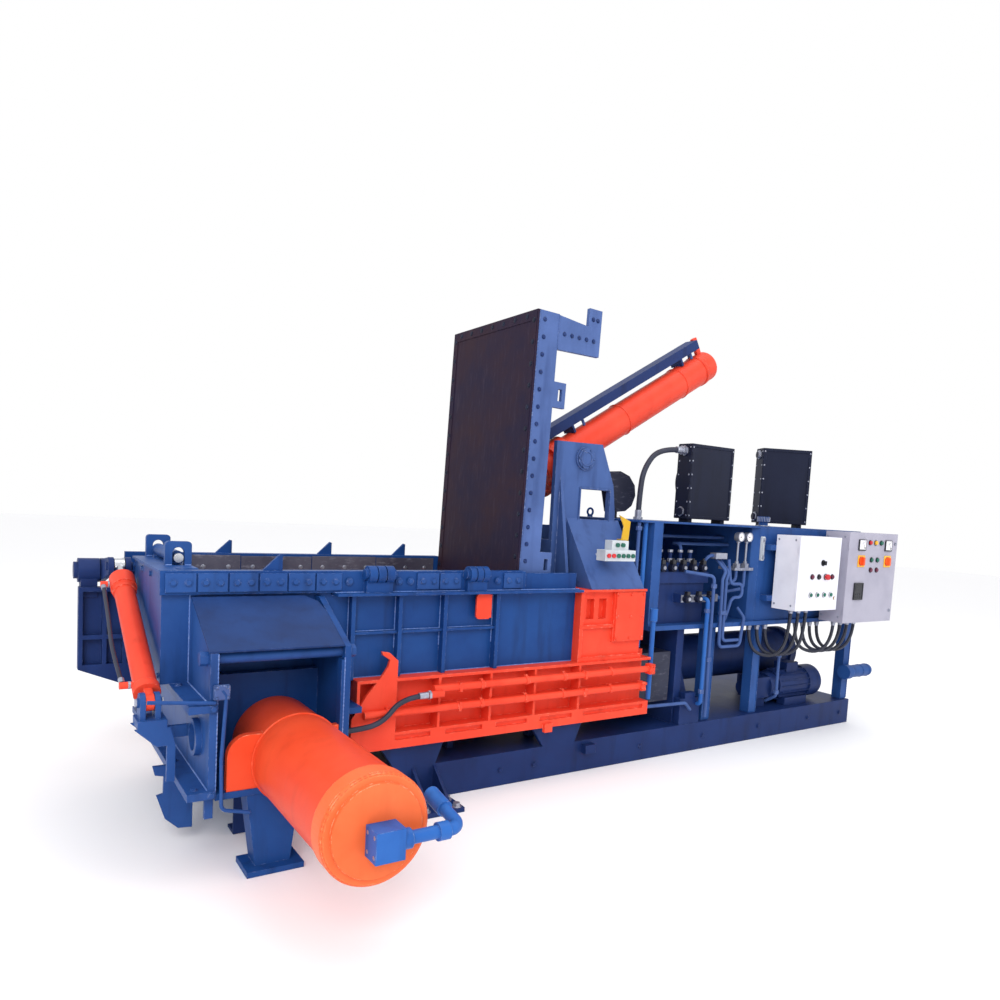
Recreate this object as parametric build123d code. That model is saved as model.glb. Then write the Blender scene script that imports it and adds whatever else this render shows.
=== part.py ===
from build123d import *
import os
from math import cos, hypot, pi, radians, sin, tan

# Millimetres. X runs along the machine, from the bale chamber to the power unit.
# Y runs from the operator's side to the discharge side, and Z is up from the floor.
# The origin is on the floor, under the middle of the base frame.

# base frame
frame_left = -2300
frame_right = 2643
frame_margin = 48
beam_height = 187
beam_flange = 100
beam_web = 12
beam_flange_thick = 14
deck_left = -2200
deck_thick = 6
cross_width = 90
cross_spacing = 620
outrigger_centre = -1300
outrigger_width = 250
outrigger_reach = 240
foot_plate_thick = 25

# charge box and ram channel
box_half = 488
wall_thick = 30
wall_left = -2461
wall_right = -310
rim_top = 1248
rim_height = 107
rim_thick = 30
lip_thick = 14
lip_left = -1850
lip_reach = 82
rib_depth = 44
pin_seat = 18
rim_blade_count = 14
rib_thick = 22
rib_places = (-1750, -1492, -1226, -891)
stiffener_height = 925
stiffener_thick = 14
knuckle_radius = 43
knuckle_places = ((-1695, -1552), (-1110, -985))
liner_thick = 12
chamber_floor = 360
chamber_roof = 700
channel_left = -1732
channel_right = 280
channel_depth = 82
channel_floor_thick = 30
chord_height = 86
channel_stiffener = 14
channel_stiffener_places = (-1260, -935, -631, -300)
slot_height = 26
slot_depth = 16

# end wall and side ram housing
end_web_thick = 50
ledge_reach = 132
end_box_back = 244
ledge_thick = 32
upper_ledge = 740
lower_ledge = 380
skirt_bottom = 73
housing_floor = 362
nose_thick = 30
nose_reach = 412
nose_top = 950
hood_step = 57
cheek_thick = 30
chamber_right = -1938
front_plate_thick = 40
front_plate_setback = 42
front_plate_top = 785
cradle_half = 298
cradle_top = 596
housing_floor_thick = 28
side_axis_x = -2138
side_axis_z = 470
lug_half_spacing = 265
lug_thick = 30
lug_width = 118
lug_height = 112
lug_left = -2578
window_width = 54
window_height = 84
foot_left = -2358
foot_right = -2114
foot_front = -990
foot_back = -812

# lid
lid_lean = 1.65
lid_hinge_x = -614
lid_hinge_z = 892
lid_hinge_offset = 113
lid_length = 1842
lid_side_gap = 16
lid_skin = 20
lid_depth = 155
lid_edge_thick = 26
lid_face_thick = 16
hinge_pin_radius = 45
hinge_hub_radius = 82
pin_clearance = 0.05
hook_plate_thick = 26
hook_reach = 470
hook_root = 200
hook_drop = 26
prong_width = 96
prong_rise = 82
lug_gap_half = 66
lid_lug_thick = 30

# lid cylinder and its tower
trunnion_x = -124
trunnion_z = 1940
lid_tilt = 31
lid_bore_radius = 90
lid_tube_radius = 110
lid_head_reach = 205
lid_tube_reach = 1600
lid_rod_radius = 50
lid_eye_reach = 440
lid_eye_radius = 56
lid_eye_half = 48
lid_pin_radius = 34
lid_stroke = 1190
trunnion_radius = 48
tower_inner = 268
tower_plate = 32
tower_left = -350
tower_top = 2034
cover_top = 1560
end_frame_right = 207
end_frame_top = 1127

# rams
main_ram_face = -640
main_ram_length = 1230
main_tube_radius = 175
main_bore_radius = 140
main_rod_radius = 90
main_tube_left = 704
main_tube_right = 2380
main_stroke = 1280
crosshead_left = 640
side_tube_radius = 195
side_ring_radius = 203
side_bore_radius = 160
side_rod_radius = 76
side_stroke = 920
side_tube_reach = 840
ram_wall = 30
ram_face_thick = 60
ram_clearance = 4

# door and its cylinder
door_shaft_reach = 77
door_shaft_z = 1135
door_shaft_radius = 38
door_hub_radius = 66
door_hub_left = -2862
door_hub_right = -2757
door_open = 78
door_height = 700
door_thick = 60
door_lever_x = -2700
door_lever_reach = 343
door_lever_rise = 9.2
door_base_reach = 178
door_base_z = 712
door_tube_radius = 48
door_bore_radius = 36
door_rod_radius = 26
door_stroke = 425
door_hose_side = -88
door_hose_size = 18

# power unit
unit_left = 204
unit_right = 2650
unit_front = -500
unit_back = 430
unit_top = 1572
table_top = 884
tank_left = 1350
cooler_depth = 130
cooler_left_size = (446, 535)
cooler_right_size = (400, 590)
cooler_left_place = (1115, -185)
cooler_right_place = (2030, -170)
cooler_right_turn = -28

# control cabinets
small_left = 1506
small_width = 490
small_bottom = 985
small_height = 536
large_left = 2095
pump_line = -352
large_width = 650
large_bottom = 877
large_height = 690
cabinet_depth = 180
cabinet_back = -560
cabinet_skin = 2.5
door_leaf = 18
button_radius = 14
button_gap = 0.3
button_hole = 8
button_rise = 11
small_row_z = (1231, 1099)
small_row_x = (1671, 1751, 1832, 1912)
selector_place = (1788, 1333)
isolator_places = ((2266, 1350), (2620, 1350))
meter_places = ((2260, 1473), (2616, 1473))
lamp_x = (2364, 2439, 2514)
lamp_z = 1493
large_button_x = (2401, 2481)
large_button_z = (1361, 1283)

# hoses and conduits
hose_size = 28
cooler_hose_size = 38
conduit_size = 26
small_conduit_x = (1610, 1700, 1790)
large_conduit_x = (2150, 2240, 2330, 2420)


def block(x0, x1, y0, y1, z0, z1):
    centre = Pos((x0 + x1) / 2, (y0 + y1) / 2, (z0 + z1) / 2)
    return centre * Box(x1 - x0, y1 - y0, z1 - z0)


def bar(start, end, radius):
    axis = Vector(*end) - Vector(*start)
    return extrude(Plane(origin=start, z_dir=axis) * Circle(radius), amount=axis.length)


def tube(start, end, radius, bore):
    return bar(start, end, radius) - bar(start, end, bore)


def plate_xz(points, y0, y1):
    outline = Polyline(*[(x, y0, z) for x, z in points], close=True)
    return extrude(make_face(outline), amount=y1 - y0, dir=(0, 1, 0))


def plate_yz(points, x0, x1):
    outline = Polyline(*[(x0, y, z) for y, z in points], close=True)
    return extrude(make_face(outline), amount=x1 - x0, dir=(1, 0, 0))


def plate_xy(points, z0, z1):
    outline = Polyline(*[(x, y, z0) for x, y in points], close=True)
    return extrude(make_face(outline), amount=z1 - z0, dir=(0, 0, 1))


def mirrored(shape):
    return mirror(shape, about=Plane.XZ)


def both(shape):
    return shape + mirrored(shape)


def joined(shapes):
    total = shapes[0]
    for shape in shapes[1:]:
        total = total + shape
    return total


def run(points, radius, bend):
    path = FilletPolyline(*points, radius=bend)
    section = Plane(origin=path @ 0, z_dir=path % 0) * Circle(radius)
    return sweep(section, path=path)


def hose(name, points, size):
    """Flexible line through the points, each corner rounded over most of its shorter run."""
    radii = []
    for before, corner, after in zip(points, points[1:], points[2:]):
        first = Vector(*corner) - Vector(*before)
        second = Vector(*after) - Vector(*corner)
        turn = radians(first.get_angle(second))
        radii.append(0.45 * min(first.length, second.length) / tan(turn / 2))
    path = FilletPolyline(*points, radius=radii)
    section = Plane(origin=path @ 0, z_dir=path % 0) * Circle(size / 2)
    line = sweep(section, path=path)
    expected = path.length * pi * size * size / 4
    print(name, "radii", [round(radius) for radius in radii], "volume ratio", round(line.volume / expected, 3))
    return line


# derived levels and faces
wall_outer = box_half + wall_thick
rib_face = wall_outer + rib_depth
lip_face = wall_outer + lip_reach
lip_top = rim_top - rim_height
lip_bottom = lip_top - lip_thick
channel_face = wall_outer + channel_depth
channel_bottom = chamber_floor - channel_floor_thick
ram_axis_z = (chamber_floor + chamber_roof) / 2
end_web_left = wall_left - end_web_thick
rim_left = end_web_left - ledge_reach
ledge_left = end_web_left - ledge_reach * 0.62
nose_front = -wall_outer - nose_reach
side_tube_end = nose_front - side_tube_reach
frame_half = box_half + frame_margin
hood_top_edge = -wall_outer - hood_step
front_plate_back = -wall_outer - front_plate_setback
lid_half = box_half - lid_side_gap
side_ram_face = -box_half - ram_clearance
door_shaft_y = wall_outer + rim_thick + door_shaft_reach
door_base_y = -wall_outer - door_base_reach


def lid_frame_plane():
    """Plane of the open lid's inner face: x along the lid from the hinge, z out of its back."""
    along = Vector(sin(radians(lid_lean)), 0, cos(radians(lid_lean)))
    outward = Vector(cos(radians(lid_lean)), 0, -sin(radians(lid_lean)))
    hinge = Vector(lid_hinge_x, 0, lid_hinge_z)
    return Plane(origin=hinge - outward * lid_hinge_offset, x_dir=along, z_dir=outward)


def lid_axis_point(distance, height=0.0, side=0.0):
    """Point on the lid cylinder, from its trunnion towards the capped end."""
    tilt = radians(lid_tilt)
    x = trunnion_x + distance * cos(tilt) - height * sin(tilt)
    z = trunnion_z + distance * sin(tilt) + height * cos(tilt)
    return (x, side, z)


def door_lever_tip():
    rise = radians(180 - door_lever_rise)
    y = door_shaft_y + door_lever_reach * cos(rise)
    z = door_shaft_z + door_lever_reach * sin(rise)
    return (door_lever_x, y, z)


def door_axis_point(distance, side=0.0):
    """Point on the door cylinder, from its base pin towards the lever."""
    tip = door_lever_tip()
    length = hypot(tip[1] - door_base_y, tip[2] - door_base_z)
    y = door_base_y + (tip[1] - door_base_y) * distance / length
    z = door_base_z + (tip[2] - door_base_z) * distance / length
    return (door_lever_x + side, y, z)


def door_pin_length():
    tip = door_lever_tip()
    return hypot(tip[1] - door_base_y, tip[2] - door_base_z)


def base_frame():
    inner = frame_half - beam_web
    web = block(frame_left, frame_right, -frame_half, -inner, 0, beam_height)
    flange_back = -frame_half + beam_flange
    lower = block(frame_left, frame_right, -inner, flange_back, 0, beam_flange_thick)
    upper_bottom = beam_height - beam_flange_thick
    upper = block(frame_left, frame_right, -inner, flange_back, upper_bottom, beam_height)
    beam = web + lower + upper
    frame = both(beam)
    count = int((frame_right - cross_width) // cross_spacing)
    back = int((-frame_left - cross_width) // cross_spacing)
    for step in range(-back, count + 1):
        middle = step * cross_spacing
        low = middle - cross_width / 2
        high = middle + cross_width / 2
        frame += block(low, high, -inner, inner, 0, beam_height)
    frame += block(deck_left, frame_right, -frame_half, frame_half, beam_height, beam_height + deck_thick)
    left = outrigger_centre - outrigger_width / 2
    right = outrigger_centre + outrigger_width / 2
    reach = -frame_half - outrigger_reach
    frame += block(left, right, reach, -frame_half, 0, foot_plate_thick)
    for middle in (left + 60, right - 60):
        brace = [(reach + 40, foot_plate_thick), (-frame_half, foot_plate_thick), (-frame_half, beam_height)]
        frame += plate_yz(brace, middle - 8, middle + 8)
    return frame + crosshead() + channel_supports()


def channel_supports():
    supports = []
    for middle in (-1375, -400):
        outline = [
            (middle - 192, channel_bottom),
            (middle + 196, channel_bottom),
            (middle + 142, beam_height),
            (middle - 96, beam_height),
        ]
        supports.append(both(plate_xz(outline, -frame_half, -frame_half + 30)))
    return joined(supports)


def crosshead():
    plate = block(
        crosshead_left,
        main_tube_left,
        -frame_half + 60,
        frame_half - 60,
        beam_height,
        table_top - 30,
    )
    hole = bar((crosshead_left - 1, 0, ram_axis_z), (main_tube_left + 1, 0, ram_axis_z), main_rod_radius + 8)
    brace = [
        (main_tube_left, beam_height),
        (main_tube_left + 200, beam_height),
        (main_tube_left, ram_axis_z + main_tube_radius),
    ]
    rests = block(-1040, -1000, -330, -270, beam_height, 232) + block(-460, -420, -330, -270, beam_height, 232)
    valve = block(-200, -120, -frame_half - 46, -frame_half, 118, 172)
    deck = beam_height + deck_thick
    valve += block(655, 850, -frame_half + 4, -frame_half + 56, deck, 372)
    valve += block(700, 800, -frame_half + 4, -frame_half + 50, 372, 410)
    guide = block(-1060, -400, -318, -282, 232, 264)
    return plate - hole + both(plate_xz(brace, -420, -396)) + rests + valve + guide


def channel_side():
    wall = block(channel_left, channel_right, -wall_outer, -box_half, channel_bottom, chamber_roof)
    flange = block(channel_left, channel_right, -channel_face, -wall_outer, chamber_roof - 16, chamber_roof)
    chord_top = channel_bottom + chord_height
    chord = block(channel_left, channel_right, -channel_face, -wall_outer, channel_bottom, chord_top)
    side = wall + flange + chord
    middle = channel_bottom + 185
    rail = block(channel_left, channel_right, -channel_face + 16, -wall_outer, middle, middle + 16)
    side += rail
    for place in channel_stiffener_places:
        side += block(
            place - channel_stiffener / 2,
            place + channel_stiffener / 2,
            -channel_face,
            -wall_outer,
            chord_top,
            chamber_roof,
        )
    edges = (channel_left,) + channel_stiffener_places + (channel_right,)
    slot_low = channel_bottom + 44
    for left, right in zip(edges[:-1], edges[1:]):
        side -= block(
            left + 45,
            right - 45,
            -channel_face - 1,
            -channel_face + slot_depth,
            slot_low,
            slot_low + slot_height,
        )
    return side


def channel_horn():
    """Swept gusset that stands over the channel's left end, beside the side housing."""
    top = chamber_roof
    outline = [
        (channel_left - 24, channel_bottom + 14),
        (-1512, channel_bottom + 14),
        (-1512, top + 92),
        (-1562, top + 136),
        (-1604, top + 143),
        (-1600, top + 126),
        (-1558, top + 98),
        (-1568, top + 62),
        (-1592, top + 26),
        (-1628, top - 18),
        (-1680, top - 78),
        (-1712, top - 130),
        (channel_left - 24, top - 190),
    ]
    front = -channel_face
    gusset = plate_xz(outline, front, front + 18)
    lug = block(-560, -505, front - 24, front, channel_bottom - 22, channel_bottom + 30)
    return gusset + lug


def lower_channel():
    floor = block(channel_left, channel_right, -box_half, box_half, channel_bottom, chamber_floor)
    end = block(channel_left, channel_left + 16, -channel_face, -wall_outer, channel_bottom, chamber_roof)
    return floor + both(channel_side() + end) + channel_horn()


def channel_pipes():
    radius = 20
    centre = -channel_face - radius
    upper_z = 632
    lower_z = 527
    upper = bar((-1310, centre, upper_z), (235, centre, upper_z), radius)
    lower = bar((-1700, centre, lower_z), (170, centre, lower_z), radius)
    upper_end = block(235, 275, centre - 30, -channel_face, upper_z - 32, upper_z + 32)
    lower_end = block(170, 205, centre - 28, -channel_face, lower_z - 28, lower_z + 28)
    hose_y = -channel_face - 55
    ferrule = bar((-1360, hose_y, 612), (-1270, hose_y, 612), 19)
    ferrule += bar((-1290, hose_y, 612), (-1290, centre, upper_z), 14)
    pipes = [upper + upper_end + ferrule, lower + lower_end]
    for left in (-1160, -290):
        pipes[0] += block(left, left + 16, centre - radius - 4, -channel_face, upper_z - 24, upper_z + 24)
        pipes[1] += block(left, left + 16, centre - radius - 4, -channel_face, lower_z - 24, lower_z + 24)
    return Compound(children=[piece.solid() for piece in pipes])


def wall(fins):
    low = chamber_roof
    skin = block(wall_left, wall_right, -wall_outer, -box_half, low, rim_top - 14)
    rim = block(rim_left, lid_hinge_x - 90, -wall_outer - rim_thick, -wall_outer, lip_top, rim_top)
    top = block(wall_left, lid_hinge_x - 90, -wall_outer, -box_half, rim_top - 14, rim_top)
    lip = block(lip_left, wall_right, -lip_face, -wall_outer, lip_bottom, lip_top)
    side = skin + rim + top + lip
    for place in rib_places:
        side += block(place - rib_thick / 2, place + rib_thick / 2, -rib_face, -wall_outer, low, lip_bottom)
    side += block(
        rib_places[0],
        rib_places[-1],
        -rib_face + 14,
        -wall_outer,
        stiffener_height,
        stiffener_height + stiffener_thick,
    )
    for place in fins:
        fin = [(place - 85, rim_top), (place + 8, rim_top), (place + 8, rim_top + 74), (place - 4, rim_top + 78)]
        side += plate_xz(fin, -wall_outer - 8, -wall_outer + 8)
    pin_end = (lid_hinge_x, -box_half - pin_seat, lid_hinge_z)
    return side - bar(pin_end, (lid_hinge_x, -box_half + 1, lid_hinge_z), hinge_pin_radius)


def rim_knuckle(left, right):
    """Hinge knuckles of a fold-down side flap: three discs on a foot."""
    y = -wall_outer - rim_thick - 24
    z = rim_top - 14
    third = (right - left) / 3
    knuckle = block(left, right, y - 10, -wall_outer - rim_thick, lip_top, z)
    for step in range(3):
        low = left + step * third
        knuckle += bar((low + 3, y, z), (low + third - 3, y, z), knuckle_radius)
    return knuckle + bar((left - 12, y, z), (right + 12, y, z), knuckle_radius * 0.62)


def near_wall():
    side = wall((-2111,))
    for left, right in knuckle_places:
        side += rim_knuckle(left, right)
    return side


def far_wall():
    """Discharge side wall, with the pillow blocks of the door shaft on its rim."""
    side = mirrored(wall((-2085, -1473, -960)))
    rim_face = wall_outer + rim_thick
    for left in (wall_left + 8, chamber_right - 60):
        right = left + 50
        pillow = block(left, right, rim_face, door_shaft_y, lip_top, rim_top - 20)
        pillow += bar((left, door_shaft_y, door_shaft_z), (right, door_shaft_y, door_shaft_z), door_hub_radius - 6)
        hole_start = (left - 1, door_shaft_y, door_shaft_z)
        hole_end = (right + 1, door_shaft_y, door_shaft_z)
        side += pillow - bar(hole_start, hole_end, door_shaft_radius + pin_clearance)
    return side


def rim_blades():
    """Replaceable shear blades along the outer faces of both rims."""
    depth = 10
    face = -wall_outer - rim_thick
    start = rim_left + 20
    pitch = (lid_hinge_x - 110 - start) / rim_blade_count
    pieces = []
    for step in range(rim_blade_count):
        left = start + step * pitch
        right = left + pitch - 8
        pad = block(left, right, face - depth, face, lip_top + 12, rim_top - 10)
        clear = [low for low, high in knuckle_places if left < high + 16 and right > low - 16]
        if not clear:
            pieces.append(pad.solid())
        if left > chamber_right + 20:
            pieces.append(mirrored(pad).solid())
    return Compound(children=pieces)


def orange_stop():
    """Small bent stop plate in the third bay of the near wall."""
    plate = block(-1034, -950, -rib_face, -rib_face + 14, 984, 1125)
    foot = block(-950, -936, -rib_face, -wall_outer, 990, 1120)
    return fillet((plate + foot).edges().filter_by(Axis.Y).group_by(Axis.X)[0], 22)


def nose_outline():
    return [
        (nose_front, housing_floor),
        (-wall_outer, housing_floor),
        (-wall_outer, lip_bottom),
        (hood_top_edge, lip_bottom),
        (nose_front, nose_top),
    ]


def lock_lug(side):
    left = lug_left
    right = lug_left + lug_width
    base = rim_top
    top = rim_top + lug_height
    low = side - lug_thick / 2
    high = side + lug_thick / 2
    lug = block(left, right, low, high, base, top)
    middle = lug_left + lug_width / 2
    window = block(
        middle - window_width / 2,
        middle + window_width / 2,
        low - 1,
        high + 1,
        base - 1,
        base + window_height - window_width / 2,
    )
    crown = base + window_height - window_width / 2
    window += bar((middle, low - 1, crown), (middle, high + 1, crown), window_width / 2)
    corners = lug.edges().filter_by(Axis.Y).group_by(Axis.Z)[-1]
    return fillet(corners, 18) - window


def end_wall():
    skin_outline = [
        (-wall_outer, channel_bottom),
        (wall_outer, channel_bottom),
        (wall_outer, rim_top - 14),
        (-wall_outer, rim_top - 14),
    ]
    wall_plate = plate_yz(skin_outline, end_web_left, wall_left)
    wall_plate += plate_yz(nose_outline(), end_web_left, end_web_left + nose_thick)
    for level in (upper_ledge, lower_ledge):
        low = level - ledge_thick
        wall_plate += block(ledge_left, end_web_left, nose_front, wall_outer, low, level)
        wall_plate += block(ledge_left, end_web_left + nose_thick, nose_front - 12, nose_front, low, level)
    post_right = end_web_left + nose_thick
    wall_plate += block(end_web_left - 4, post_right, nose_front + 30, nose_front + 50, 250, housing_floor)
    wall_plate += block(rim_left, wall_left, -wall_outer, end_box_back, rim_top - 14, rim_top)
    wall_plate += block(end_web_left, wall_left, end_box_back, wall_outer, rim_top - 14, rim_top)
    wall_plate += block(rim_left + 12, end_web_left, -wall_outer, end_box_back, upper_ledge, rim_top - 14)
    boss_y = -735
    boss_z = 556
    wall_plate += tube((end_web_left - 26, boss_y, boss_z), (end_web_left, boss_y, boss_z), 80, 58)
    inner = lid_half - hook_plate_thick - 12
    for side in (-1, 1):
        low = min(side * inner, side * (box_half + 1))
        high = max(side * inner, side * (box_half + 1))
        wall_plate -= block(end_web_left - 52, wall_left + 1, low, high, rim_top - 190, rim_top + 1)
    for side in (-1, 1):
        wall_plate += lock_lug(side * lug_half_spacing)
    return wall_plate + end_skirt() + door_bracket() + lock_cylinder()


def end_skirt():
    """Stepped apron that hangs below the lower ledge, between the end wall and the floor."""
    outline = [
        (end_web_left + 27, channel_bottom),
        (end_web_left + 27, skirt_bottom),
        (end_web_left - 33, skirt_bottom + 5),
        (end_web_left - 89, skirt_bottom + 57),
        (end_web_left - 126, lower_ledge - 140),
        (end_web_left - 99, lower_ledge - 134),
        (end_web_left - 97, lower_ledge - 53),
        (end_web_left - 134, lower_ledge - 44),
        (end_web_left - 144, lower_ledge - 4),
        (end_web_left - 49, lower_ledge - 4),
    ]
    return plate_xz(outline, -wall_outer - 18, -wall_outer)


def door_bracket():
    """Bracket that carries the door cylinder's base pin over the lower ledge."""
    top = door_base_z - 64
    left = door_lever_x - 52
    right = door_lever_x + 62
    near = door_base_y - 62
    bracket = block(left, right, near, door_base_y + 62, top - 34, top)
    gusset = [
        (left - 10, top - 34),
        (right + 14, top - 34),
        (right + 34, top - 112),
        (left + 74, top - 112),
    ]
    for low in (near, door_base_y + 44):
        bracket += plate_xz(gusset, low, low + 18)
    foot_low = right
    bracket += block(foot_low, foot_low + 34, near, near + 18, lower_ledge, top - 112)
    bracket += block(foot_low - 20, end_web_left, door_base_y + 44, door_base_y + 62, top - 112, top - 60)
    for side in (-1, 1):
        low = door_lever_x + side * 29 - 11
        ear = block(low, low + 22, door_base_y - 42, door_base_y + 42, top, door_base_z)
        ear += bar((low, door_base_y, door_base_z), (low + 22, door_base_y, door_base_z), 42)
        bracket += ear
    ends = (door_lever_x - 48, door_lever_x + 48)
    return bracket + bar((ends[0], door_base_y, door_base_z), (ends[1], door_base_y, door_base_z), 20)


def side_housing():
    cheek_left = chamber_right
    cheek = plate_yz(nose_outline(), cheek_left, cheek_left + cheek_thick)
    nose_inner = end_web_left + nose_thick
    low = housing_floor - housing_floor_thick
    floor = block(nose_inner, cheek_left + cheek_thick, nose_front, -wall_outer, low, housing_floor)
    plate_front = front_plate_back - front_plate_thick
    front = block(nose_inner, cheek_left, plate_front, front_plate_back, housing_floor, front_plate_top)
    front += block(nose_inner, cheek_left, front_plate_back, -wall_outer, chamber_roof, chamber_roof + 30)
    hole = bar(
        (side_axis_x, plate_front - 1, side_axis_z),
        (side_axis_x, front_plate_back + 1, side_axis_z),
        side_rod_radius + 8,
    )
    chamber = block(wall_left, channel_left, -wall_outer, wall_outer, channel_bottom, chamber_floor)
    housing = cheek + floor + (front - hole) + chamber
    for side in (-1, 1):
        inner = min(side * box_half, side * wall_outer)
        outer = max(side * box_half, side * wall_outer)
        housing += block(chamber_right, channel_left, inner, outer, chamber_floor, chamber_roof)
    housing += block(cheek_left - 14, cheek_left, nose_front, nose_front + 46, housing_floor, nose_top - 60)
    housing += block(cheek_left + cheek_thick, channel_left, -wall_outer - 150, -wall_outer, 560, 590)
    clear = bar((side_axis_x, plate_front, side_axis_z), (side_axis_x, -1100, side_axis_z), side_tube_radius + 2)
    return housing + side_foot() - clear


def side_foot():
    bottom = housing_floor - housing_floor_thick
    plate = block(foot_left, foot_right, foot_front, foot_back, 0, foot_plate_thick)
    middle_x = (foot_left + foot_right) / 2
    pillar_low = Plane.XY.offset(foot_plate_thick) * Pos(middle_x, -885, 0) * Rectangle(150, 110)
    pillar_high = Plane.XY.offset(bottom) * Pos(middle_x, -870, 0) * Rectangle(230, 110)
    pillar = loft([pillar_low.face(), pillar_high.face()])
    return plate + pillar


def hood_plate():
    thick = 8
    left = end_web_left - 6
    right = chamber_right - 3
    outline = [
        (hood_top_edge, lip_bottom),
        (nose_front, nose_top),
        (nose_front, nose_top + thick),
        (hood_top_edge, lip_bottom + thick),
    ]
    corner = [
        (left, hood_top_edge + 60),
        (right - 74, hood_top_edge + 60),
        (right - 70, hood_top_edge),
        (right - 16, hood_top_edge - 45),
        (right, hood_top_edge - 125),
        (right, nose_front - 10),
        (left, nose_front - 10),
    ]
    return plate_yz(outline, left, right) & plate_xy(corner, nose_top - 50, lip_top + 50)


def tie_bar():
    y = -878
    z = nose_top - 30
    left = end_web_left
    right = chamber_right + cheek_thick
    shaft = bar((left + nose_thick, y, z), (chamber_right, y, z), 24)
    left_nut = nut_x(left - 34, left, y, z)
    right_nut = nut_x(right, right + 34, y, z)
    return Compound(children=[shaft.solid(), left_nut, right_nut])


def nut_x(x0, x1, y, z):
    face = Plane(origin=(x0, y, z), z_dir=(1, 0, 0)) * RegularPolygon(30, 6)
    return extrude(face, amount=x1 - x0).solid()


def cheek_frame():
    """Near cheek of the orange end frame: pockets over a shelf, and a plain face below."""
    left = wall_right
    right = end_frame_right
    face = wall_outer + 62
    low = chamber_roof
    slab = block(left, right, -face + 22, -box_half, low, end_frame_top)
    shelf = 906
    slab += block(left, right, -face, -face + 22, shelf, shelf + 16)
    slab += block(left, left + 26, -face, -face + 22, low, end_frame_top)
    slab += block(right - 250, right, -face, -face + 22, low + 112, end_frame_top)
    slab += block(left, right, -face, -face + 22, low, low + 24)
    for pocket in (left + 60, left + 158):
        cut = block(pocket, pocket + 62, -face + 10, -face + 60, shelf + 50, end_frame_top - 46)
        slab -= cut
    return slab


def end_frame():
    cheeks = both(cheek_frame())
    left = wall_right
    right = end_frame_right
    bridge = block(left, right, -box_half, box_half, chamber_roof + 40, chamber_roof + 90)
    for x in (left, right - 30):
        bridge += block(x, x + 30, -box_half, box_half, chamber_roof + 90, end_frame_top)
    top = block(left, right, -lip_face, lip_face, end_frame_top, lip_top)
    guides = block(right - 30, channel_right, -wall_outer, wall_outer, chamber_roof, chamber_roof + 40)
    return cheeks + bridge + top + guides


def end_frame_cover():
    face = wall_outer + 62
    right = end_frame_right
    return block(right - 242, right - 4, -face - 12, -face, 815, end_frame_top - 4)


def tower_side():
    """One side plate of the trunnion tower, with its bore, window and gusset ribs."""
    outline = [
        (tower_left, lip_top),
        (tower_left, tower_top),
        (18, tower_top + 6),
        (131, 1784),
        (158, 1610),
        (158, lip_top),
    ]
    inner = -tower_inner
    outer = inner - tower_plate
    plate = plate_xz(outline, outer, inner)
    window = block(-140, 98, outer - 1, inner + 1, 1500, 1748)
    plate -= window
    plate += bar((trunnion_x, outer - 12, trunnion_z), (trunnion_x, outer, trunnion_z), 74)
    bore = bar(
        (trunnion_x, outer - 13, trunnion_z),
        (trunnion_x, inner + 1, trunnion_z),
        trunnion_radius + pin_clearance,
    )
    rib = [(outer, lip_top), (outer - 130, lip_top), (outer - 6, tower_top - 260), (outer, tower_top - 200)]
    plate += plate_yz(rib, tower_left + 40, tower_left + 62)
    return plate - bore


def tower():
    sides = both(tower_side())
    inner = tower_inner
    cross = block(tower_left, tower_left + 26, -inner, inner, lip_top, 1420)
    cross += block(132, 158, -inner, inner, lip_top, 1500)
    sill = block(tower_left, 158, -inner, inner, lip_top, lip_top + 20)
    return sides + cross + sill + slope_cover()


def slope_cover():
    """Sloped sheet between the tower's near side plate and the box's lip."""
    outer = -tower_inner - tower_plate
    top = cover_top
    thick = 8
    outline = [
        (outer, top),
        (-lip_face + 10, lip_top),
        (-lip_face + 10 + thick, lip_top),
        (outer, top - 14),
    ]
    sheet = plate_yz(outline, tower_left + 110, 190)
    for x in (tower_left + 110, 184):
        cheek = [(outer, top), (-lip_face + 10, lip_top), (outer, lip_top)]
        sheet += plate_yz(cheek, x, x + 6)
    return sheet


def lid_shape():
    """The lid's welded frame in its own plane: skin, edge plates, ribs and cross ribs."""
    skin_low = lid_face_thick
    low = skin_low + lid_skin
    frame = block(0, lid_length, -lid_half, lid_half, skin_low, low)
    for side in (-1, 1):
        inner = lid_half - lid_edge_thick
        edge_low = min(side * inner, side * lid_half)
        edge_high = max(side * inner, side * lid_half)
        frame += block(0, lid_length, edge_low, edge_high, low, lid_depth)
        rib_low = min(side * lug_gap_half, side * (lug_gap_half + lid_lug_thick))
        rib_high = max(side * lug_gap_half, side * (lug_gap_half + lid_lug_thick))
        frame += block(0, lid_length, rib_low, rib_high, low, lid_depth)
    for place in (0, 460, 1180, 1520, lid_length - 24):
        frame += block(place, place + 24, lug_gap_half, lid_half, low, lid_depth)
        frame += block(place, place + 24, -lid_half, -lug_gap_half, low, lid_depth)
    frame += block(lid_length - 24, lid_length, -lid_half, lid_half, low, lid_depth)
    return frame


def lid_lug_place():
    """The lid's cylinder pin, in the lid's plane: along the lid and out of its back."""
    eye = lid_axis_point(-lid_eye_reach)
    local = lid_frame_plane().to_local_coords(Vector(*eye))
    return local.X, local.Z


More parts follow.
